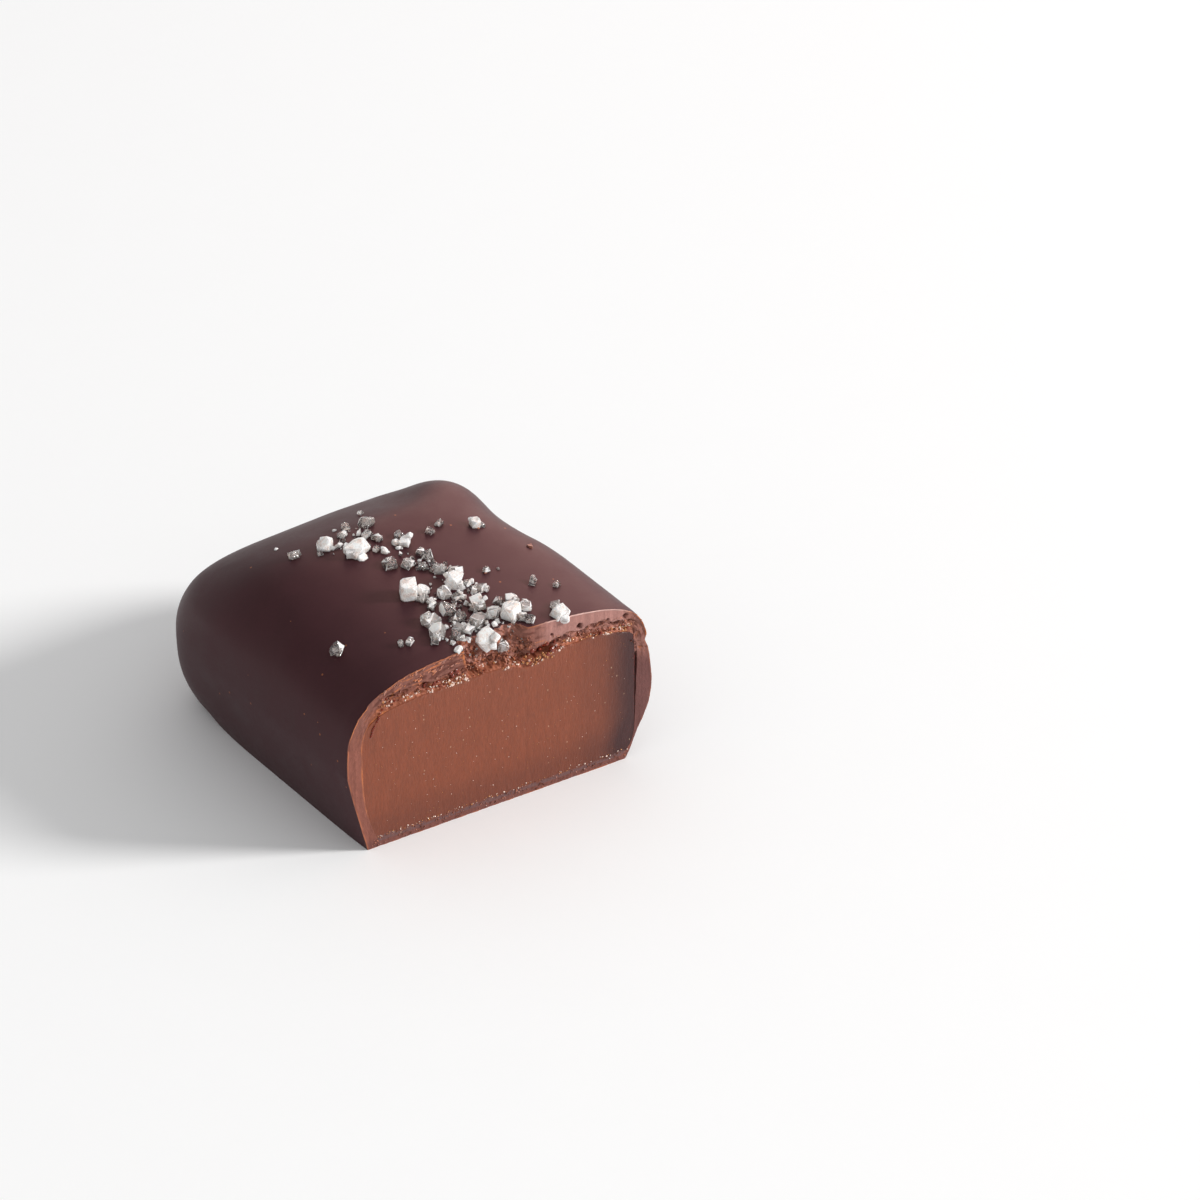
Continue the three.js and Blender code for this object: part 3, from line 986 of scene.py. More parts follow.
def drop_material(name, colour, clear):
    """Glossy drops of soft caramel; the pale ones are painted highlights, the sparkle of wet caramel."""
    material, graph, shader = new_material(name, IOR=1.5, Transmission_Weight=clear)
    grain = use_group(graph, grain_group(), {"Place": graph.place(), "Size": 0.5, "Contrast": 0.5})
    graph.feed(shader["Base Color"], scaled(graph, paint(colour), grain["Value"]))
    graph.feed(shader["Roughness"], graph.span(grain["Height"], 0.35, 0.65, 0.06, 0.2))
    graph.feed(shader["Normal"], bump(graph, grain["Height"], 0.03))
    return material


def crumb_material(name, dark, light):
    """Broken chocolate, in a dark and a light colour mixed in patches."""
    material, graph, shader = new_material(name, IOR=1.5)
    grain = use_group(graph, grain_group(), {"Place": graph.place(), "Size": 0.5, "Contrast": 0.8})
    body = graph.mix(graph.span(grain["Height"], 0.45, 0.6), paint(dark), paint(light))
    graph.feed(shader["Base Color"], scaled(graph, body, grain["Value"]))
    graph.feed(shader["Roughness"], graph.span(grain["Height"], 0.35, 0.65, 0.3, 0.5))
    graph.feed(shader["Normal"], bump(graph, grain["Height"], 0.04))
    return material


# Broken blocks: salt and crumbs


def any_turn(roll):
    return Euler((TAU * roll(), TAU * roll(), TAU * roll())).to_matrix()


def broken_block(size, roll, chance=0.42):
    """A block with some corners broken off, as the points of its hull."""
    half = [side / 2 for side in size]
    points = []
    for corner in range(8):
        sign = [1 if corner & bit else -1 for bit in (1, 2, 4)]
        broken = roll() < chance
        depth = 0.35 + 0.55 * roll()
        wobble = 1 - 0.16 * roll()
        at = [side * reach * wobble for side, reach in zip(sign, half)]
        if not broken:
            points.append(Vector(at))
            continue
        for axis in range(3):
            moved = list(at)
            moved[axis] -= sign[axis] * half[axis] * depth
            points.append(Vector(moved))
    return points


def crystal_blocks(x, y, size, turn, roll, ground, tall=False):
    """One crystal, sunk into the top at a place: the hulls of its main block and of those grown onto it."""
    sides = [size, size * pick((0.66, 0.95), roll()), size * pick((0.55, 0.9), roll())]
    lean = 0.9
    if tall:
        sides = [0.8 * size, 0.74 * size, 1.05 * size]
        lean = 0.25
    tilt = Euler((lean * (roll() - 0.5), lean * (roll() - 0.5), math.radians(turn))).to_matrix()
    point, normal = ground(x, y)
    if point.z < TOP_LEAST:
        return []
    upright = Vector((0, 0, 1)).rotation_difference(normal).to_matrix() @ tilt
    middle = point + normal * sides[2] * (0.5 - pick(SUNK, roll()))
    blocks = [[upright @ each + middle for each in broken_block(sides, roll, 0.55)]]
    grown = 0 if size < 0.5 or tall else 1 if size < 0.8 else 2 if size < 1.2 else 3
    for _ in range(grown):
        part = size * pick((0.35, 0.62), roll())
        extra = [part, part * pick((0.5, 1), roll()), part * pick((0.5, 1), roll())]
        angle = TAU * roll()
        away = Vector((math.cos(angle), math.sin(angle), pick((-0.5, 0.7), roll()))) * 0.42 * size
        turned = any_turn(roll)
        shift = middle + upright @ away
        blocks.append([turned @ each + shift for each in broken_block(extra, roll, 0.55)])
    return blocks


def find_ground(piece):
    """A function that finds the point of a piece's top over a place, in millimetres, and its direction."""
    tree = BVHTree.FromObject(piece, bpy.context.evaluated_depsgraph_get())

    def ground(x, y):
        point, normal, _, _ = tree.ray_cast(Vector((x, y, 40)) * MM, Vector((0, 0, -1)))
        return point / MM, normal

    return ground


def find_face(pieces):
    """A function that finds the foremost point of some pieces at a place of the cut, in millimetres."""
    graph = bpy.context.evaluated_depsgraph_get()
    trees = [BVHTree.FromObject(piece, graph) for piece in pieces]
    inward = Vector((-math.sin(candy().sizes.cut_turn), math.cos(candy().sizes.cut_turn), 0))

    def face(x, z):
        start = Vector((x, float(cut_y(x)), z)) - inward * BEFORE_CUT
        hits = [tree.ray_cast(start * MM, inward, (BEFORE_CUT + BEHIND_CUT) * MM) for tree in trees]
        found = [(hit[3], hit[0] / MM, hit[1]) for hit in hits if hit[0] and hit[1].dot(inward) < FACING]
        return min(found, key=lambda each: each[0])[1:] if found else None

    return face


def add_hull(work, points, cuts=0, rough=0.0, seed=0, bevel=0.0, frost=None):
    """Adds a closed hull to a mesh being made, with its faces divided and roughened.

    A share of its faces given by frost, and a larger share of its bevelled edges, take the piece's second
    material.
    """
    made = bmesh.new()
    for point in points:
        made.verts.new(point)
    bmesh.ops.convex_hull(made, input=made.verts)
    loose = [vert for vert in made.verts if not vert.link_faces]
    bmesh.ops.delete(made, geom=loose, context="VERTS")
    bmesh.ops.dissolve_limit(made, angle_limit=math.radians(2), verts=made.verts, edges=made.edges)
    if frost is not None:
        cells = np.array([[index, seed, 7] for index in range(len(made.faces))])
        for face, chance in zip(made.faces, lattice(cells, seed)):
            face.material_index = int(chance < frost)
    if bevel > 0:
        bmesh.ops.bevel(
            made,
            geom=made.edges[:],
            offset=bevel,
            segments=1,
            affect="EDGES",
            clamp_overlap=True,
            material=-1 if frost is None else RIM,
        )
        for index, face in enumerate(made.faces):
            if face.material_index == RIM:
                chance = lattice(np.array([index, seed, 9]), seed)
                face.material_index = int(chance < frost + RIM_FROST)
    bmesh.ops.triangulate(made, faces=made.faces)
    if cuts > 0:
        bmesh.ops.subdivide_edges(made, edges=made.edges[:], cuts=cuts, use_grid_fill=True)
        bmesh.ops.triangulate(made, faces=made.faces)
    if rough > 0:
        made.normal_update()
        spots = np.array([vert.co for vert in made.verts])
        push = ripple(spots, 0.42, seed) * 0.6 + ripple(spots, 0.17, seed + 1) * 0.4
        for vert, amount in zip(made.verts, push):
            vert.co += vert.normal * float(amount) * rough
    bmesh.ops.recalc_face_normals(made, faces=made.faces)
    copy = bpy.data.meshes.new("part")
    made.to_mesh(copy)
    made.free()
    work.from_mesh(copy)
    bpy.data.meshes.remove(copy)


def add_veils(work, points, roll, count, seed):
    """Thin clouded plates inside a crystal, where it is cracked."""
    middle = sum(points, Vector()) / len(points)
    reach = sum((point - middle).length for point in points) / len(points)
    for index in range(count):
        lean = any_turn(roll)
        sides = [reach * pick((0.5, 0.85), roll()), reach * pick((0.3, 0.7), roll()), VEIL]
        shift = middle + lean @ Vector((0, 0, 0.35 * reach * (roll() - 0.5)))
        plate = [lean @ each + shift for each in broken_block(sides, roll, 0.5)]
        add_hull(work, plate, seed=seed + index, frost=1.0)


def finish_heap(name, work, materials, sharp):
    """Turns a heap of closed hulls in millimetres into a piece."""
    mesh = bpy.data.meshes.new(name)
    work.transform(Matrix.Diagonal((MM, MM, MM, 1)))
    work.to_mesh(mesh)
    work.free()
    mesh.polygons.foreach_set("use_smooth", np.ones(len(mesh.polygons), bool))
    mesh.set_sharp_from_angle(angle=sharp)
    for material in materials:
        mesh.materials.append(material)
    piece = bpy.data.objects.new(name, mesh)
    bpy.context.scene.collection.objects.link(piece)
    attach(piece, "root")
    return piece


# Sizes and colours that a user would change


class CandySizes(PropertyGroup):
    """Lengths of the candy, in millimetres."""

    half_width: FloatProperty(name="Half width", description="Half the candy's width", default=13.0)
    whole_length: FloatProperty(name="Whole length", description="Length before the cut", default=33.6)
    back: FloatProperty(name="Back", description="Where the back of the coat is", default=14.65)
    top_height: FloatProperty(name="Top height", description="Height of the coat at the cut", default=15.03)
    cut: FloatProperty(name="Cut", description="Where the knife went through, at the middle", default=-13.37)
    cut_turn: FloatProperty(
        name="Cut turn",
        description="How far the cut is from square",
        default=math.radians(-5.7),
        subtype="ANGLE",
    )
    coat_side: FloatProperty(name="Side coat", description="Thickness of the coat at the sides", default=1.4)
    coat_back: FloatProperty(name="Back coat", description="Thickness of the coat at the back", default=1.75)
    coat_base: FloatProperty(name="Base coat", description="Thickness under the filling", default=0.45)
    coat_top: FloatProperty(name="Top coat", description="Thickness over the filling", default=2.98)


def colour_property(name, description, default):
    return FloatVectorProperty(
        name=name, description=description, default=default, subtype="COLOR", size=3, min=0.0, max=1.0
    )


class CandyColours(PropertyGroup):
    """Colours of the candy's surfaces."""

    coat: colour_property("Coat", "The chocolate's outer skin", (0.047, 0.0155, 0.0200))
    # painted shade on the skin round the salt crystals
    shade_round_salt: colour_property("Damp", "The skin round the salt", (0.030, 0.0075, 0.0085))
    speck: colour_property("Speck", "Tiny specks in the skin", (0.30, 0.10, 0.04))
    section: colour_property("Section", "The chocolate where it is cut", (0.23, 0.085, 0.062))
    section_left: colour_property("Section, top left", "The cut coat, top left", (0.212, 0.087, 0.067))
    # painted light: the cut coat at the top right, lit where it tilts up
    section_top_right_lit: colour_property("Section, top right", "The cut coat, top right", (0.36, 0.18, 0.155))
    section_side: colour_property("Section, right side", "The cut coat, right side", (0.138, 0.059, 0.054))
    layer: colour_property("Layer", "Dark layers in the cut coat", (0.095, 0.030, 0.022))
    torn: colour_property("Torn", "The chocolate where it broke", (0.38, 0.175, 0.135))
    crumb: colour_property("Crumb", "Broken bits of chocolate", (0.42, 0.15, 0.088))
    wet: colour_property("Wet", "The chocolate soaked with caramel", (0.14, 0.034, 0.016))
    glint: colour_property("Glint", "Thin places that let light through", (0.55, 0.17, 0.055))
    # painted shade at the bottom of pits and gaps
    wet_shaded_pits: colour_property("Pit", "The bottom of pits and gaps", (0.050, 0.006, 0.004))
    # the raised edge is real; its bright orange is painted light shining through the thin chocolate
    burr: colour_property("Burr", "The thin edge that the knife raised", (0.62, 0.20, 0.07))
    # painted light: the burr at the top right, lighter where it is lit
    burr_top_right_lit: colour_property("Pale burr", "The same edge at the top right", (0.88, 0.60, 0.54))
    caramel: colour_property("Caramel", "The filling", (0.205, 0.046, 0.016))
    caramel_edge: colour_property("Caramel edge", "The filling at its darker rim", (0.041, 0.0065, 0.006))
    # painted highlights: the sparkle of tiny bubbles in the filling
    caramel_highlight_speck: colour_property("Caramel speck", "Pale specks in the filling", (0.62, 0.40, 0.25))
    # painted highlights: pale drops that stand for the sparkle of wet caramel
    highlight_bead: colour_property("Bead", "Bright drops and sugar", (0.94, 0.72, 0.62))
    amber: colour_property("Amber", "Drops of soft caramel", (0.62, 0.26, 0.10))
    dark_drop: colour_property("Dark drop", "Drops of boiled, dark caramel", (0.27, 0.034, 0.014))
    salt: colour_property("Salt", "The crystals", (0.985, 0.940, 0.910))
    salt_shade: colour_property("Salt, shaded", "The greyer places in the crystals", (0.78, 0.64, 0.58))
    floor: colour_property("Floor", "The floor it stands on", (0.965, 0.97, 0.975))


class CandySalt(PropertyGroup):
    """How much fine salt lies between the large crystals."""

    grains: IntProperty(name="Grains", description="Number of fine grains", default=255, min=0)
    smallest: FloatProperty(name="Smallest", description="Smallest grain, in millimetres", default=0.12)
    largest: FloatProperty(name="Largest", description="Largest fine grain, in millimetres", default=0.42)
    roughness: FloatProperty(name="Roughness", description="How uneven the faces are", default=0.014)


class CandyStage(PropertyGroup):
    """Light on the candy."""

    key: FloatProperty(name="Key light", description="Power of the key light", default=23.0, unit="POWER")
    rear: FloatProperty(name="Rear light", description="Power of the rear light", default=1.2, unit="POWER")
    world: FloatProperty(name="Surroundings", description="Light from all round", default=0.59)


class Candy(PropertyGroup):
    """Everything that can be set on the candy."""

    sizes: PointerProperty(type=CandySizes)
    colours: PointerProperty(type=CandyColours)
    salt: PointerProperty(type=CandySalt)
    stage: PointerProperty(type=CandyStage)


# The pieces


def smooth_skin(points, faces, start):
    """Lets the skin flow: its creases are evened out, and low swellings are raised on it."""
    x, y, z = points.T
    skin = np.arange(len(points)) >= start
    free = skin * smoothstep(y - cut_y(x), 0.3, 1.6) * smoothstep(z, 0.2, 1.2)
    points = relax(points, faces, 0.9 * free, 10)
    x, y, z = points.T
    ridge = free * smoothstep(z, 10.0, 12.5) * smoothstep(y, -3, 2)
    points = relax(points, faces, ridge, 70)
    outward = directions(points, faces)
    push = 0.035 * ripple(points, 5.5, 61) * free + 0.012 * ripple(points, 2.2, 62) * free
    for sx, sy, sz, amount in SWELLINGS:
        push = push + amount * free * bell(np.linalg.norm(points - [sx, sy, sz], axis=1), 0, SWELLING_REACH)
    return points + outward * push[:, None]


def shade_round_salt_places(points):
    """Painted shade on the skin round each crystal that lies in it: the crystal's shadow and the sheen it
    hides.
    """
    shade_round_salt = np.zeros(len(points))
    for x, y, size, _, _ in LARGEST + SMALLER:
        away = np.hypot(points[:, 0] - x, points[:, 1] - y)
        shade_round_salt = np.maximum(shade_round_salt, 1 - smoothstep(away, 0.35 * size, 0.75 * size + 0.15))
    return shade_round_salt * smoothstep(points[:, 2], 13, 14)


def build_coat():
    section = perimeter(ACROSS, UP)
    half, quarter = section[::2], section[::4]
    pocket = filling_form()

    def pocket_points(cube):
        return block_points(cube, pocket)

    _, rim = on_plane(section, coat_points, 0.0)
    _, inner = on_plane(section, pocket_points, 0.0)
    crown = smoothstep(inner[:, 2], 10.4, 11.6) * smoothstep(section[:, 1], 0.2, 0.8)
    gap = np.linalg.norm(rim - inner, axis=1)
    edge_depth, edge_masks = torn_relief(rim[:, 0], rim[:, 2], np.zeros(len(rim)), gap, crown)
    outer_cube, outer = on_plane(section, coat_points, edge_depth)

    shell = Shell()
    outer_ids = shell.add(outer)
    masks = {"section": [np.ones(len(outer))]}
    for name, values in edge_masks.items():
        masks[name] = [values]

    # the face of the cut, from the outer edge to the filling
    last = outer_ids
    turn = candy().sizes.cut_turn
    normal = np.array([math.sin(turn), -math.cos(turn), 0.0])
    for row in range(1, RING_ROWS + 1):
        share = (row / RING_ROWS) ** 0.95
        points = rim + (inner - rim) * share
        skin = gap * share
        depth, found = torn_relief(points[:, 0], points[:, 2], skin, gap - skin, crown)
        points = points - normal * depth[:, None]
        ids = shell.add(points)
        shell.bridge(last, ids)
        last = ids
        masks["section"].append(np.ones(len(ids)))
        for name, values in found.items():
            masks[name].append(values)
    inner_depth = depth

    def plain(count):
        for values in masks.values():
            values.append(np.zeros(count))

    # the pocket round the filling
    start, _ = on_plane(section, pocket_points, inner_depth)
    for share in POCKET_EDGE_ROWS:
        ids = shell.add(pocket_points(blend_loop(section, start[:, 1], share)))
        shell.bridge(last, ids)
        last = ids
        plain(len(ids))
    ids = shell.add(pocket_points(blend_loop(half, start[::2, 1], POCKET_HALVED[0])))
    shell.halve(last, ids)
    plain(len(ids))
    last = ids
    ids = shell.add(pocket_points(blend_loop(quarter, start[::4, 1], POCKET_HALVED[1])))
    shell.halve(last, ids)
    plain(len(ids))
    last = ids
    for share in np.linspace(POCKET_HALVED[1], 1, POCKET_ROWS)[1:]:
        ids = shell.add(pocket_points(blend_loop(quarter, start[::4, 1], share)))
        shell.bridge(last, ids)
        last = ids
        plain(len(ids))
    inside = pocket_points(back_grid(ACROSS // 4, UP // 4))
    shell.cap(last, ACROSS // 4, UP // 4, inside)
    plain(len(inside))

    # the outer skin, fine beside the cut
    skin_start = shell.count
    last = outer_ids
    for share in EDGE_ROWS:
        ids = shell.add(coat_points(blend_loop(section, outer_cube[:, 1], share)))
        shell.bridge(last, ids)
        last = ids
        plain(len(ids))
    rows = np.linspace(EDGE_ROWS[-1], 1, SKIN_ROWS)[1:]
    ids = shell.add(coat_points(blend_loop(half, outer_cube[::2, 1], rows[0])))
    shell.halve(last, ids)
    plain(len(ids))
    last = ids
    for share in rows[1:]:
        ids = shell.add(coat_points(blend_loop(half, outer_cube[::2, 1], share)))
        shell.bridge(last, ids)
        last = ids
        plain(len(ids))
    inside = coat_points(back_grid(ACROSS // 2, UP // 2))
    shell.cap(last, ACROSS // 2, UP // 2, inside)
    plain(len(inside))

    points = np.concatenate(shell.points)
    points = smooth_skin(points, shell.faces, skin_start)
    masks = {name: np.concatenate(values) for name, values in masks.items()}
    masks["shade_round_salt"] = shade_round_salt_places(points)
    piece = make_mesh("chocolate_coat", points, shell.faces, chocolate_material(), masks)
    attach(piece, "root")
    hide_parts("chocolate_shell")


def build_filling():
    section = perimeter(ACROSS, UP)
    form = filling_form(0.02)

    def place(cube):
        return block_points(cube, form)

    start, rim = on_plane(section, place, 0.0)
    shell = Shell()
    first = shell.add(rim)

    # the face of the cut, laid between its four edges
    left, top = rim[:UP], rim[UP : UP + ACROSS]
    right, bottom = rim[UP + ACROSS : 2 * UP + ACROSS], rim[2 * UP + ACROSS :]
    corners = rim[0], rim[UP], rim[UP + ACROSS], rim[2 * UP + ACROSS]
    across = (np.arange(1, ACROSS) / ACROSS)[:, None, None]
    up = (np.arange(1, UP) / UP)[None, :, None]
    side_left = left[1:][None, :, :]
    side_right = right[:0:-1][None, :, :]
    side_top = top[1:][:, None, :]
    side_bottom = bottom[:0:-1][:, None, :]
    face = (1 - across) * side_left + across * side_right + up * side_top + (1 - up) * side_bottom
    face = face - (1 - across) * (1 - up) * corners[0] - (1 - across) * up * corners[1]
    face = face - across * up * corners[2] - across * (1 - up) * corners[3]
    face = face.reshape(-1, 3)

    def relief(points):
        flat = points * [1, 0, 1]
        x, z = points[:, 0], points[:, 2]
        strokes = ripple(flat * [2.6, 0, 0.5], 1.0, 31) * 0.5 + ripple(flat * [5, 0, 1.4], 1.0, 33) * 0.5
        lumps = ripple(flat, 2.4, 35)
        rim_top = smoothstep(0.35 - (filling_crown(x) - z), 0, 0.35)
        ragged = ripple(flat, 0.35, 37) + 0.5 * ripple(flat, 0.15, 39)
        return 0.012 * strokes + 0.02 * lumps + rim_top * (0.03 + 0.05 * ragged)

    turn = candy().sizes.cut_turn
    normal = np.array([math.sin(turn), -math.cos(turn), 0.0])
    inner_points = face + normal * relief(face)[:, None]
    shell.cap(first, ACROSS, UP, inner_points)

    last = first
    ids = shell.add(place(blend_loop(section[::2], start[::2, 1], FILLING_HALVED[0])))
    shell.halve(last, ids)
    last = ids
    ids = shell.add(place(blend_loop(section[::4], start[::4, 1], FILLING_HALVED[1])))
    shell.halve(last, ids)
    last = ids
    for share in np.linspace(FILLING_HALVED[1], 1, FILLING_ROWS)[1:]:
        ids = shell.add(place(blend_loop(section[::4], start[::4, 1], share)))
        shell.bridge(last, ids)
        last = ids
    shell.cap(last, ACROSS // 4, UP // 4, place(back_grid(ACROSS // 4, UP // 4)))

    points = np.concatenate(shell.points)
    x, z = points[:, 0], points[:, 2]
    shade = 0.22 * smoothstep(x, 5.5, 8.0) + 0.78 * smoothstep(x, 8.0, 11.3)
    shade = shade + 0.3 * (1 - smoothstep(z, 1.4, 4.4))
    flat = points * [1, 0, 1]
    ragged = 0.75 + 0.14 * ripple(flat, 0.5, 41) + 0.1 * ripple(flat, 0.2, 43)
    ragged = ragged + 0.25 * smoothstep(-x, 9.2, 11)
    masks = {"shade": np.clip(shade, 0, 1), "smear": 1 - smoothstep(z - ragged, -0.06, 0.06)}
    piece = make_mesh("caramel_body", points, shell.faces, caramel_material(), masks)
    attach(piece, "root")
    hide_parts("caramel_filling")


def build_torn_edge():
    roll = dice(3307)
    face = find_face([bpy.data.objects["chocolate_coat"], bpy.data.objects["caramel_body"]])
    heaps = {name: bmesh.new() for name in ("bright", "amber", "dark", "crumbs", "flakes")}

    def between(low, high, power=1.0):
        return pick((low, high), roll() ** power)

    def over_filling(x):
        return float(filling_crown(np.float64(x)))

    def drop(heap, x, z, size, detail=2):
        found = face(x, z)
        if not found:
            return
        centre = found[0] + found[1] * 0.25 * size
        squash = Matrix.Diagonal((size * between(0.8, 1.4), size * 0.75, size * between(0.7, 1.1), 1))
        lean = Matrix.Rotation(TAU * roll(), 4, "Y")
        matrix = Matrix.Translation(centre) @ lean @ squash
        bmesh.ops.create_icosphere(heaps[heap], subdivisions=detail, radius=1.0, matrix=matrix)

    def crumb(heap, x, z, size, slim=(0.3, 0.8), along=None):
        found = face(x, z)
        if not found:
            return
        sides = [size, size * between(*slim), size * between(*slim)]
        turn = any_turn(roll)
        if along is not None:
            sway = [0.7 * (roll() - 0.5), -along + 0.5 * (roll() - 0.5), 0.5 * (roll() - 0.5)]
            turn = Euler(sway).to_matrix()
        centre = found[0] + found[1] * 0.15 * sides[1]
        add_hull(heaps[heap], [turn @ each + centre for each in broken_block(sides, roll, 0.6)])

    # drops where the caramel meets the coat, in the hollow, under the caramel and on its face; the pale ones
    # are painted highlights
    for _ in range(COUNTS["clusters"]):
        x = between(-10.4, 11.2)
        rise = between(-0.02, 0.5, 1.3)
        for _ in range(COUNTS["in a cluster"]):
            px, lift = x + 0.5 * (roll() + roll() - 1), rise + 0.16 * (roll() - 0.5)
            size = between(0.03, 0.095, 1.8)
            drop("bright" if roll() < 0.5 else "amber", px, over_filling(px) + lift, size)
    for _ in range(COUNTS["amber in the hollow"]):
        drop("amber", between(2.2, 4.6), between(11.5, 12.4), between(0.05, 0.13))
    for _ in range(COUNTS["drops under the caramel"]):
        x = between(-10.9, 10.9)
        size = between(0.025, 0.075, 2)
        drop("bright" if roll() < 0.6 else "amber", x, 0.78 + 0.22 * roll(), size)
    for _ in range(COUNTS["drops on the caramel"]):
        x = between(-10.6, 10.9)
        drop("bright" if roll() < 0.4 else "amber", x, between(1.0, 11.4), between(0.018, 0.042, 2), 1)

    # dark drops in the hollow, at the bite's left end, at the left corner and over the filling
    for _ in range(COUNTS["dark in the hollow"]):
        drop("dark", between(2.1, 4.4), between(11.9, 12.9), between(0.1, 0.27, 1.4), 3)
    for _ in range(COUNTS["dark beside the bite"]):
        drop("dark", between(-4.1, -3.4), between(12.6, 13.1), between(0.08, 0.24), 3)
    for _ in range(COUNTS["dark at the corner"]):
        share = roll()
        x = pick((-10.95, -9.9), share**1.6) + 0.1 * roll()
        drop("dark", x, pick((9.9, 11.8), share), between(0.04, 0.1))
    for _ in range(COUNTS["dark over the filling"]):
        x = between(-9.8, 11.0)
        drop("dark", x, over_filling(x) + between(0.1, 0.7), between(0.05, 0.15, 1.4))

    # crumbs in the bite, over the filling, under it and in the fold at the right
    for _ in range(COUNTS["crumbs in the bite"]):
        x = between(-3.0, 2.9)
        crumb("crumbs", x, over_filling(x) + between(0.4, 2.7), between(0.12, 0.4, 1.7))
    for _ in range(COUNTS["crumbs over the filling"]):
        x = between(-10.4, 11.1)
        crumb("crumbs", x, over_filling(x) + between(0.1, 1.1), between(0.08, 0.26, 1.7))
    for _ in range(COUNTS["crumbs under the filling"]):
        x = between(-11.3, 10.8)
        crumb("crumbs", x, between(0.15, 0.85), between(0.06, 0.17, 1.5))
    for _ in range(COUNTS["crumbs in the fold"]):
        crumb("crumbs", between(11.0, 12.4), between(8.8, 12.6), between(0.08, 0.2, 1.5))

    # crumbs on the top, each of a few bits
    ground = find_ground(bpy.data.objects["chocolate_coat"])
    for x, y, size in CRUMBS:
        for _ in range(COUNTS["bits of a crumb"]):
            point, normal = ground(x + 0.7 * size * (roll() - 0.5), y + 0.7 * size * (roll() - 0.5))
            turn = any_turn(roll)
            centre = point + normal * 0.12 * size
            sides = [size * between(0.5, 0.9), size * between(0.4, 0.7), 0.5 * size]
            add_hull(heaps["flakes"], [turn @ each + centre for each in broken_block(sides, roll, 0.5)])

    # thin flakes along the lip at the left, in the bite and over the filling at the right
    for _ in range(COUNTS["flakes on the lip"]):
        x = between(-10.4, -3.0, 1.3)
        z = float(coat_crown(np.float64(x), np.float64(LIP_Y))) - between(0.1, 1.5)
        crumb("flakes", x, z, between(0.1, 0.36, 2), (0.2, 0.5), 0.1 - 0.09 * (x + 3))
    for _ in range(COUNTS["flakes in the bite"]):
        x = between(-2.9, 3.2)
        z = over_filling(x) + between(0.3, 2.6)
        crumb("flakes", x, z, between(0.12, 0.4, 1.5), (0.15, 0.4))
    for _ in range(COUNTS["flakes at the right"]):
        x = between(3.0, 12.2)
        crumb("flakes", x, over_filling(x) + between(0.5, 1.3), between(0.1, 0.3, 1.5), (0.15, 0.4))

    round_edge, flat_edge = math.radians(80), math.radians(20)
    bright = drop_material("highlight drops", "highlight_bead", 0.2)
    amber = drop_material("caramel drops", "amber", 0.3)
    dark = drop_material("dark caramel drops", "dark_drop", 0.35)
    finish_heap("highlight_drops", heaps["bright"], [bright], round_edge)
    finish_heap("caramel_drops", heaps["amber"], [amber], round_edge)
    finish_heap("dark_drops", heaps["dark"], [dark], round_edge)
    crumbly = crumb_material("broken chocolate", "wet", "crumb")
    # the flakes' lighter colour is the burr's orange: painted light shining through thin chocolate
    flaky = crumb_material("thin chocolate", "torn", "burr")
    finish_heap("torn_crumbs", heaps["crumbs"], [crumbly], flat_edge)
    finish_heap("torn_flakes", heaps["flakes"], [flaky], flat_edge)


def build_salt():
    settings = candy().salt
    coat = bpy.data.objects["chocolate_coat"]
    ground, face = find_ground(coat), find_face([coat])
    roll = dice(4821)
    heaps = {kind: bmesh.new() for kind in SALT_KINDS}
    for index, (x, y, size, turn, kind) in enumerate(LARGEST + SMALLER):
        tall = kind == "block"
        kind = "white" if tall else kind
        for block in crystal_blocks(x, y, size, turn, roll, ground, tall):
            cuts = 2 if size > 0.9 else 1
            rough = settings.roughness * min(1.0, size)
            bevel = BEVEL[0] + BEVEL[1] * size
            add_hull(heaps[kind], block, cuts, rough, 100 + index, bevel, SALT_KINDS[kind]["frosted"])
            add_veils(heaps[kind], block, roll, SALT_KINDS[kind]["veils"], 500 + index)
    for x, y, wide, long, share in HEAPS:
        for index in range(round(share * settings.grains)):
            px = x + wide * (roll() + roll() + roll() - 1.5) * 1.3
            py = y + long * (roll() + roll() + roll() - 1.5) * 1.3
            size = pick((settings.smallest, settings.largest), roll() ** 1.6)
            kind = "white" if roll() < 0.4 else "clear"
            py = max(py, float(cut_y(px)) + 1.0)
            for block in crystal_blocks(px, py, size, 90 * roll(), roll, ground):
                frosted = SALT_KINDS[kind]["frosted"]
                add_hull(heaps[kind], block, 1, 0.2 * settings.roughness, 300 + index, 0.0, frosted)

    # bits of salt that stick in the bite
    for index in range(COUNTS["salt in the bite"]):
        x = pick((-2.6, 2.2), roll())
        z = 14.8 - 1.5 * roll() ** 1.6
        found = face(x, z)
        if not found:
            continue
        size = pick((0.08, 0.25), roll() ** 1.5)
        lean = any_turn(roll)
        sides = [size, size * pick((0.5, 1), roll()), size * pick((0.5, 1), roll())]
        centre = found[0] + found[1] * 0.2 * size
        block = [lean @ each + centre for each in broken_block(sides, roll, 0.55)]
        add_hull(heaps["cloudy"], block, 1, 0.2 * settings.roughness, 700 + index, 0.0, 0.3)

    frost = salt_material("frosted salt", *FROST)
    for kind, heap in heaps.items():
        body = salt_material(f"{kind} salt", *SALT_KINDS[kind]["finish"])
        finish_heap(f"salt_{kind}_crystals", heap, [body, frost], math.radians(18))


def aim(thing, target):
    thing.rotation_euler = (Vector(target) - thing.location).to_track_quat("-Z", "Y").to_euler()


def round_about(azimuth, elevation, distance, target):
    """A place at a distance from a target, seen at an azimuth and an elevation in degrees."""
    a, e = math.radians(azimuth), math.radians(elevation)
    away = Vector((math.sin(a) * math.cos(e), -math.cos(a) * math.cos(e), math.sin(e)))
    return Vector(target) + away * distance


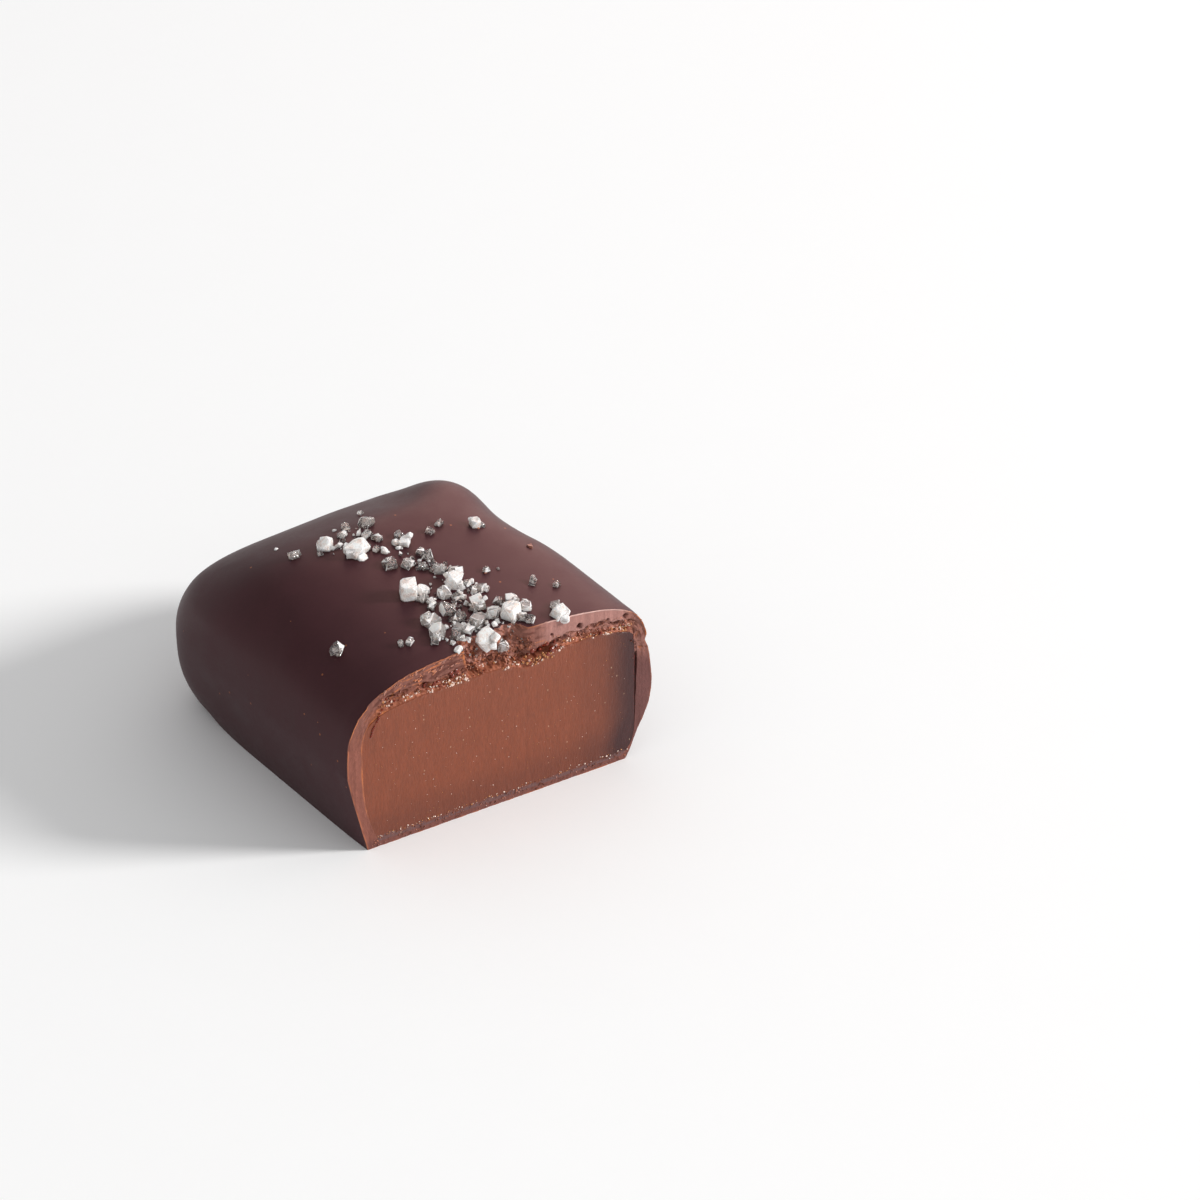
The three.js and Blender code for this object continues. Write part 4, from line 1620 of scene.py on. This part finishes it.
def area_light(name, power, azimuth, elevation, distance, size, colour):
    data = bpy.data.lights.new(name, "AREA")
    data.shape = "DISK"
    data.size = size
    data.energy = power
    data.color = colour
    light = bpy.data.objects.new(name, data)
    light.location = round_about(azimuth, elevation, distance, LIT_PLACE)
    aim(light, LIT_PLACE)
    bpy.context.scene.collection.objects.link(light)
    return light


def build_stage():
    scene = bpy.context.scene
    settings = candy().stage

    material, graph, shader = new_material("pale floor", Specular_IOR_Level=0.1)
    grain = use_group(graph, grain_group(), {"Place": graph.place(), "Size": 6.0, "Contrast": 0.02})
    graph.feed(shader["Base Color"], scaled(graph, paint("floor"), grain["Value"]))
    graph.feed(shader["Roughness"], graph.span(grain["Height"], 0.3, 0.7, 0.75, 0.85))
    mesh = bpy.data.meshes.new("floor")
    corners = [(x * FLOOR_REACH, y * FLOOR_REACH, 0) for x, y in ((-1, -1), (1, -1), (1, 1), (-1, 1))]
    mesh.from_pydata(corners, [], [(0, 1, 2, 3)])
    mesh.materials.append(material)
    floor = bpy.data.objects.new("floor", mesh)
    scene.collection.objects.link(floor)

    world = bpy.data.worlds.new("soft studio")
    world.use_nodes = True
    backdrop = world.node_tree.nodes["Background"]
    backdrop.inputs["Color"].default_value = (1.0, 1.0, 1.0, 1.0)
    graph = Graph(world.node_tree)
    around = graph.node("ShaderNodeTexCoord").outputs["Generated"]
    across = graph.node("ShaderNodeSeparateXYZ", {"Vector": around}).outputs["X"]
    left, right = (share * settings.world for share in WORLD_SHARES)
    graph.feed(backdrop.inputs["Strength"], graph.span(across, -1, 1, left, right))
    scene.world = world

    area_light("key", settings.key, **KEY)

    # the sheen on the skin: a light that only shows in glossy surfaces
    sheen = area_light("rear", settings.rear, **SHEEN)
    sheen.visible_diffuse = False
    sheen.visible_transmission = False

    camera = bpy.data.cameras.new("camera")
    camera.lens = CAMERA["lens"]
    camera.sensor_width = CAMERA["sensor"]
    camera.clip_start, camera.clip_end = CAMERA["sees"]
    view = bpy.data.objects.new("camera", camera)
    target = Vector(CAMERA["target"]) * MM
    view.location = round_about(CAMERA["azimuth"], CAMERA["elevation"], CAMERA["distance"] * MM, target)
    aim(view, target)
    scene.collection.objects.link(view)
    scene.camera = view
    scene.view_settings.view_transform = "Standard"
    scene.view_settings.look = "None"


class CANDY_OT_coat(Operator):
    """Build the chocolate coat with the face of the cut."""

    bl_idname = "candy.coat"
    bl_label = "Chocolate coat"

    def execute(self, context):
        build_coat()
        return {"FINISHED"}


class CANDY_OT_filling(Operator):
    """Build the caramel filling."""

    bl_idname = "candy.filling"
    bl_label = "Caramel filling"

    def execute(self, context):
        build_filling()
        return {"FINISHED"}


class CANDY_OT_torn_edge(Operator):
    """Build the drops and the crumbs along the torn edge."""

    bl_idname = "candy.torn_edge"
    bl_label = "Drops and crumbs"

    def execute(self, context):
        build_torn_edge()
        return {"FINISHED"}


class CANDY_OT_salt(Operator):
    """Build the salt crystals and the fine grains."""

    bl_idname = "candy.salt_heap"
    bl_label = "Salt"

    def execute(self, context):
        build_salt()
        return {"FINISHED"}


class CANDY_OT_stage(Operator):
    """Build the floor, the light and the camera."""

    bl_idname = "candy.stage_set"
    bl_label = "Stage"

    def execute(self, context):
        build_stage()
        return {"FINISHED"}


OPERATORS = (CANDY_OT_coat, CANDY_OT_filling, CANDY_OT_torn_edge, CANDY_OT_salt, CANDY_OT_stage)


class CANDY_PT_panel(Panel):
    """Lists what can be built and set."""

    bl_label = "Candy"
    bl_idname = "CANDY_PT_panel"
    bl_space_type = "VIEW_3D"
    bl_region_type = "UI"
    bl_category = "Candy"

    def draw(self, context):
        layout = self.layout
        for group in (candy().sizes, candy().colours, candy().salt, candy().stage):
            box = layout.box()
            for name in group.__annotations__:
                box.prop(group, name)
        for operator in OPERATORS:
            layout.operator(operator.bl_idname)


CLASSES = (CandySizes, CandyColours, CandySalt, CandyStage, Candy, *OPERATORS, CANDY_PT_panel)


def register():
    for each in CLASSES:
        bpy.utils.register_class(each)
    bpy.types.Scene.candy = PointerProperty(type=Candy)


def unregister():
    del bpy.types.Scene.candy
    for each in reversed(CLASSES):
        bpy.utils.unregister_class(each)


def main():
    register()
    bpy.ops.candy.coat()
    bpy.ops.candy.filling()
    bpy.ops.candy.torn_edge()
    bpy.ops.candy.salt_heap()
    bpy.ops.candy.stage_set()


if __name__ == "__main__":
    main()
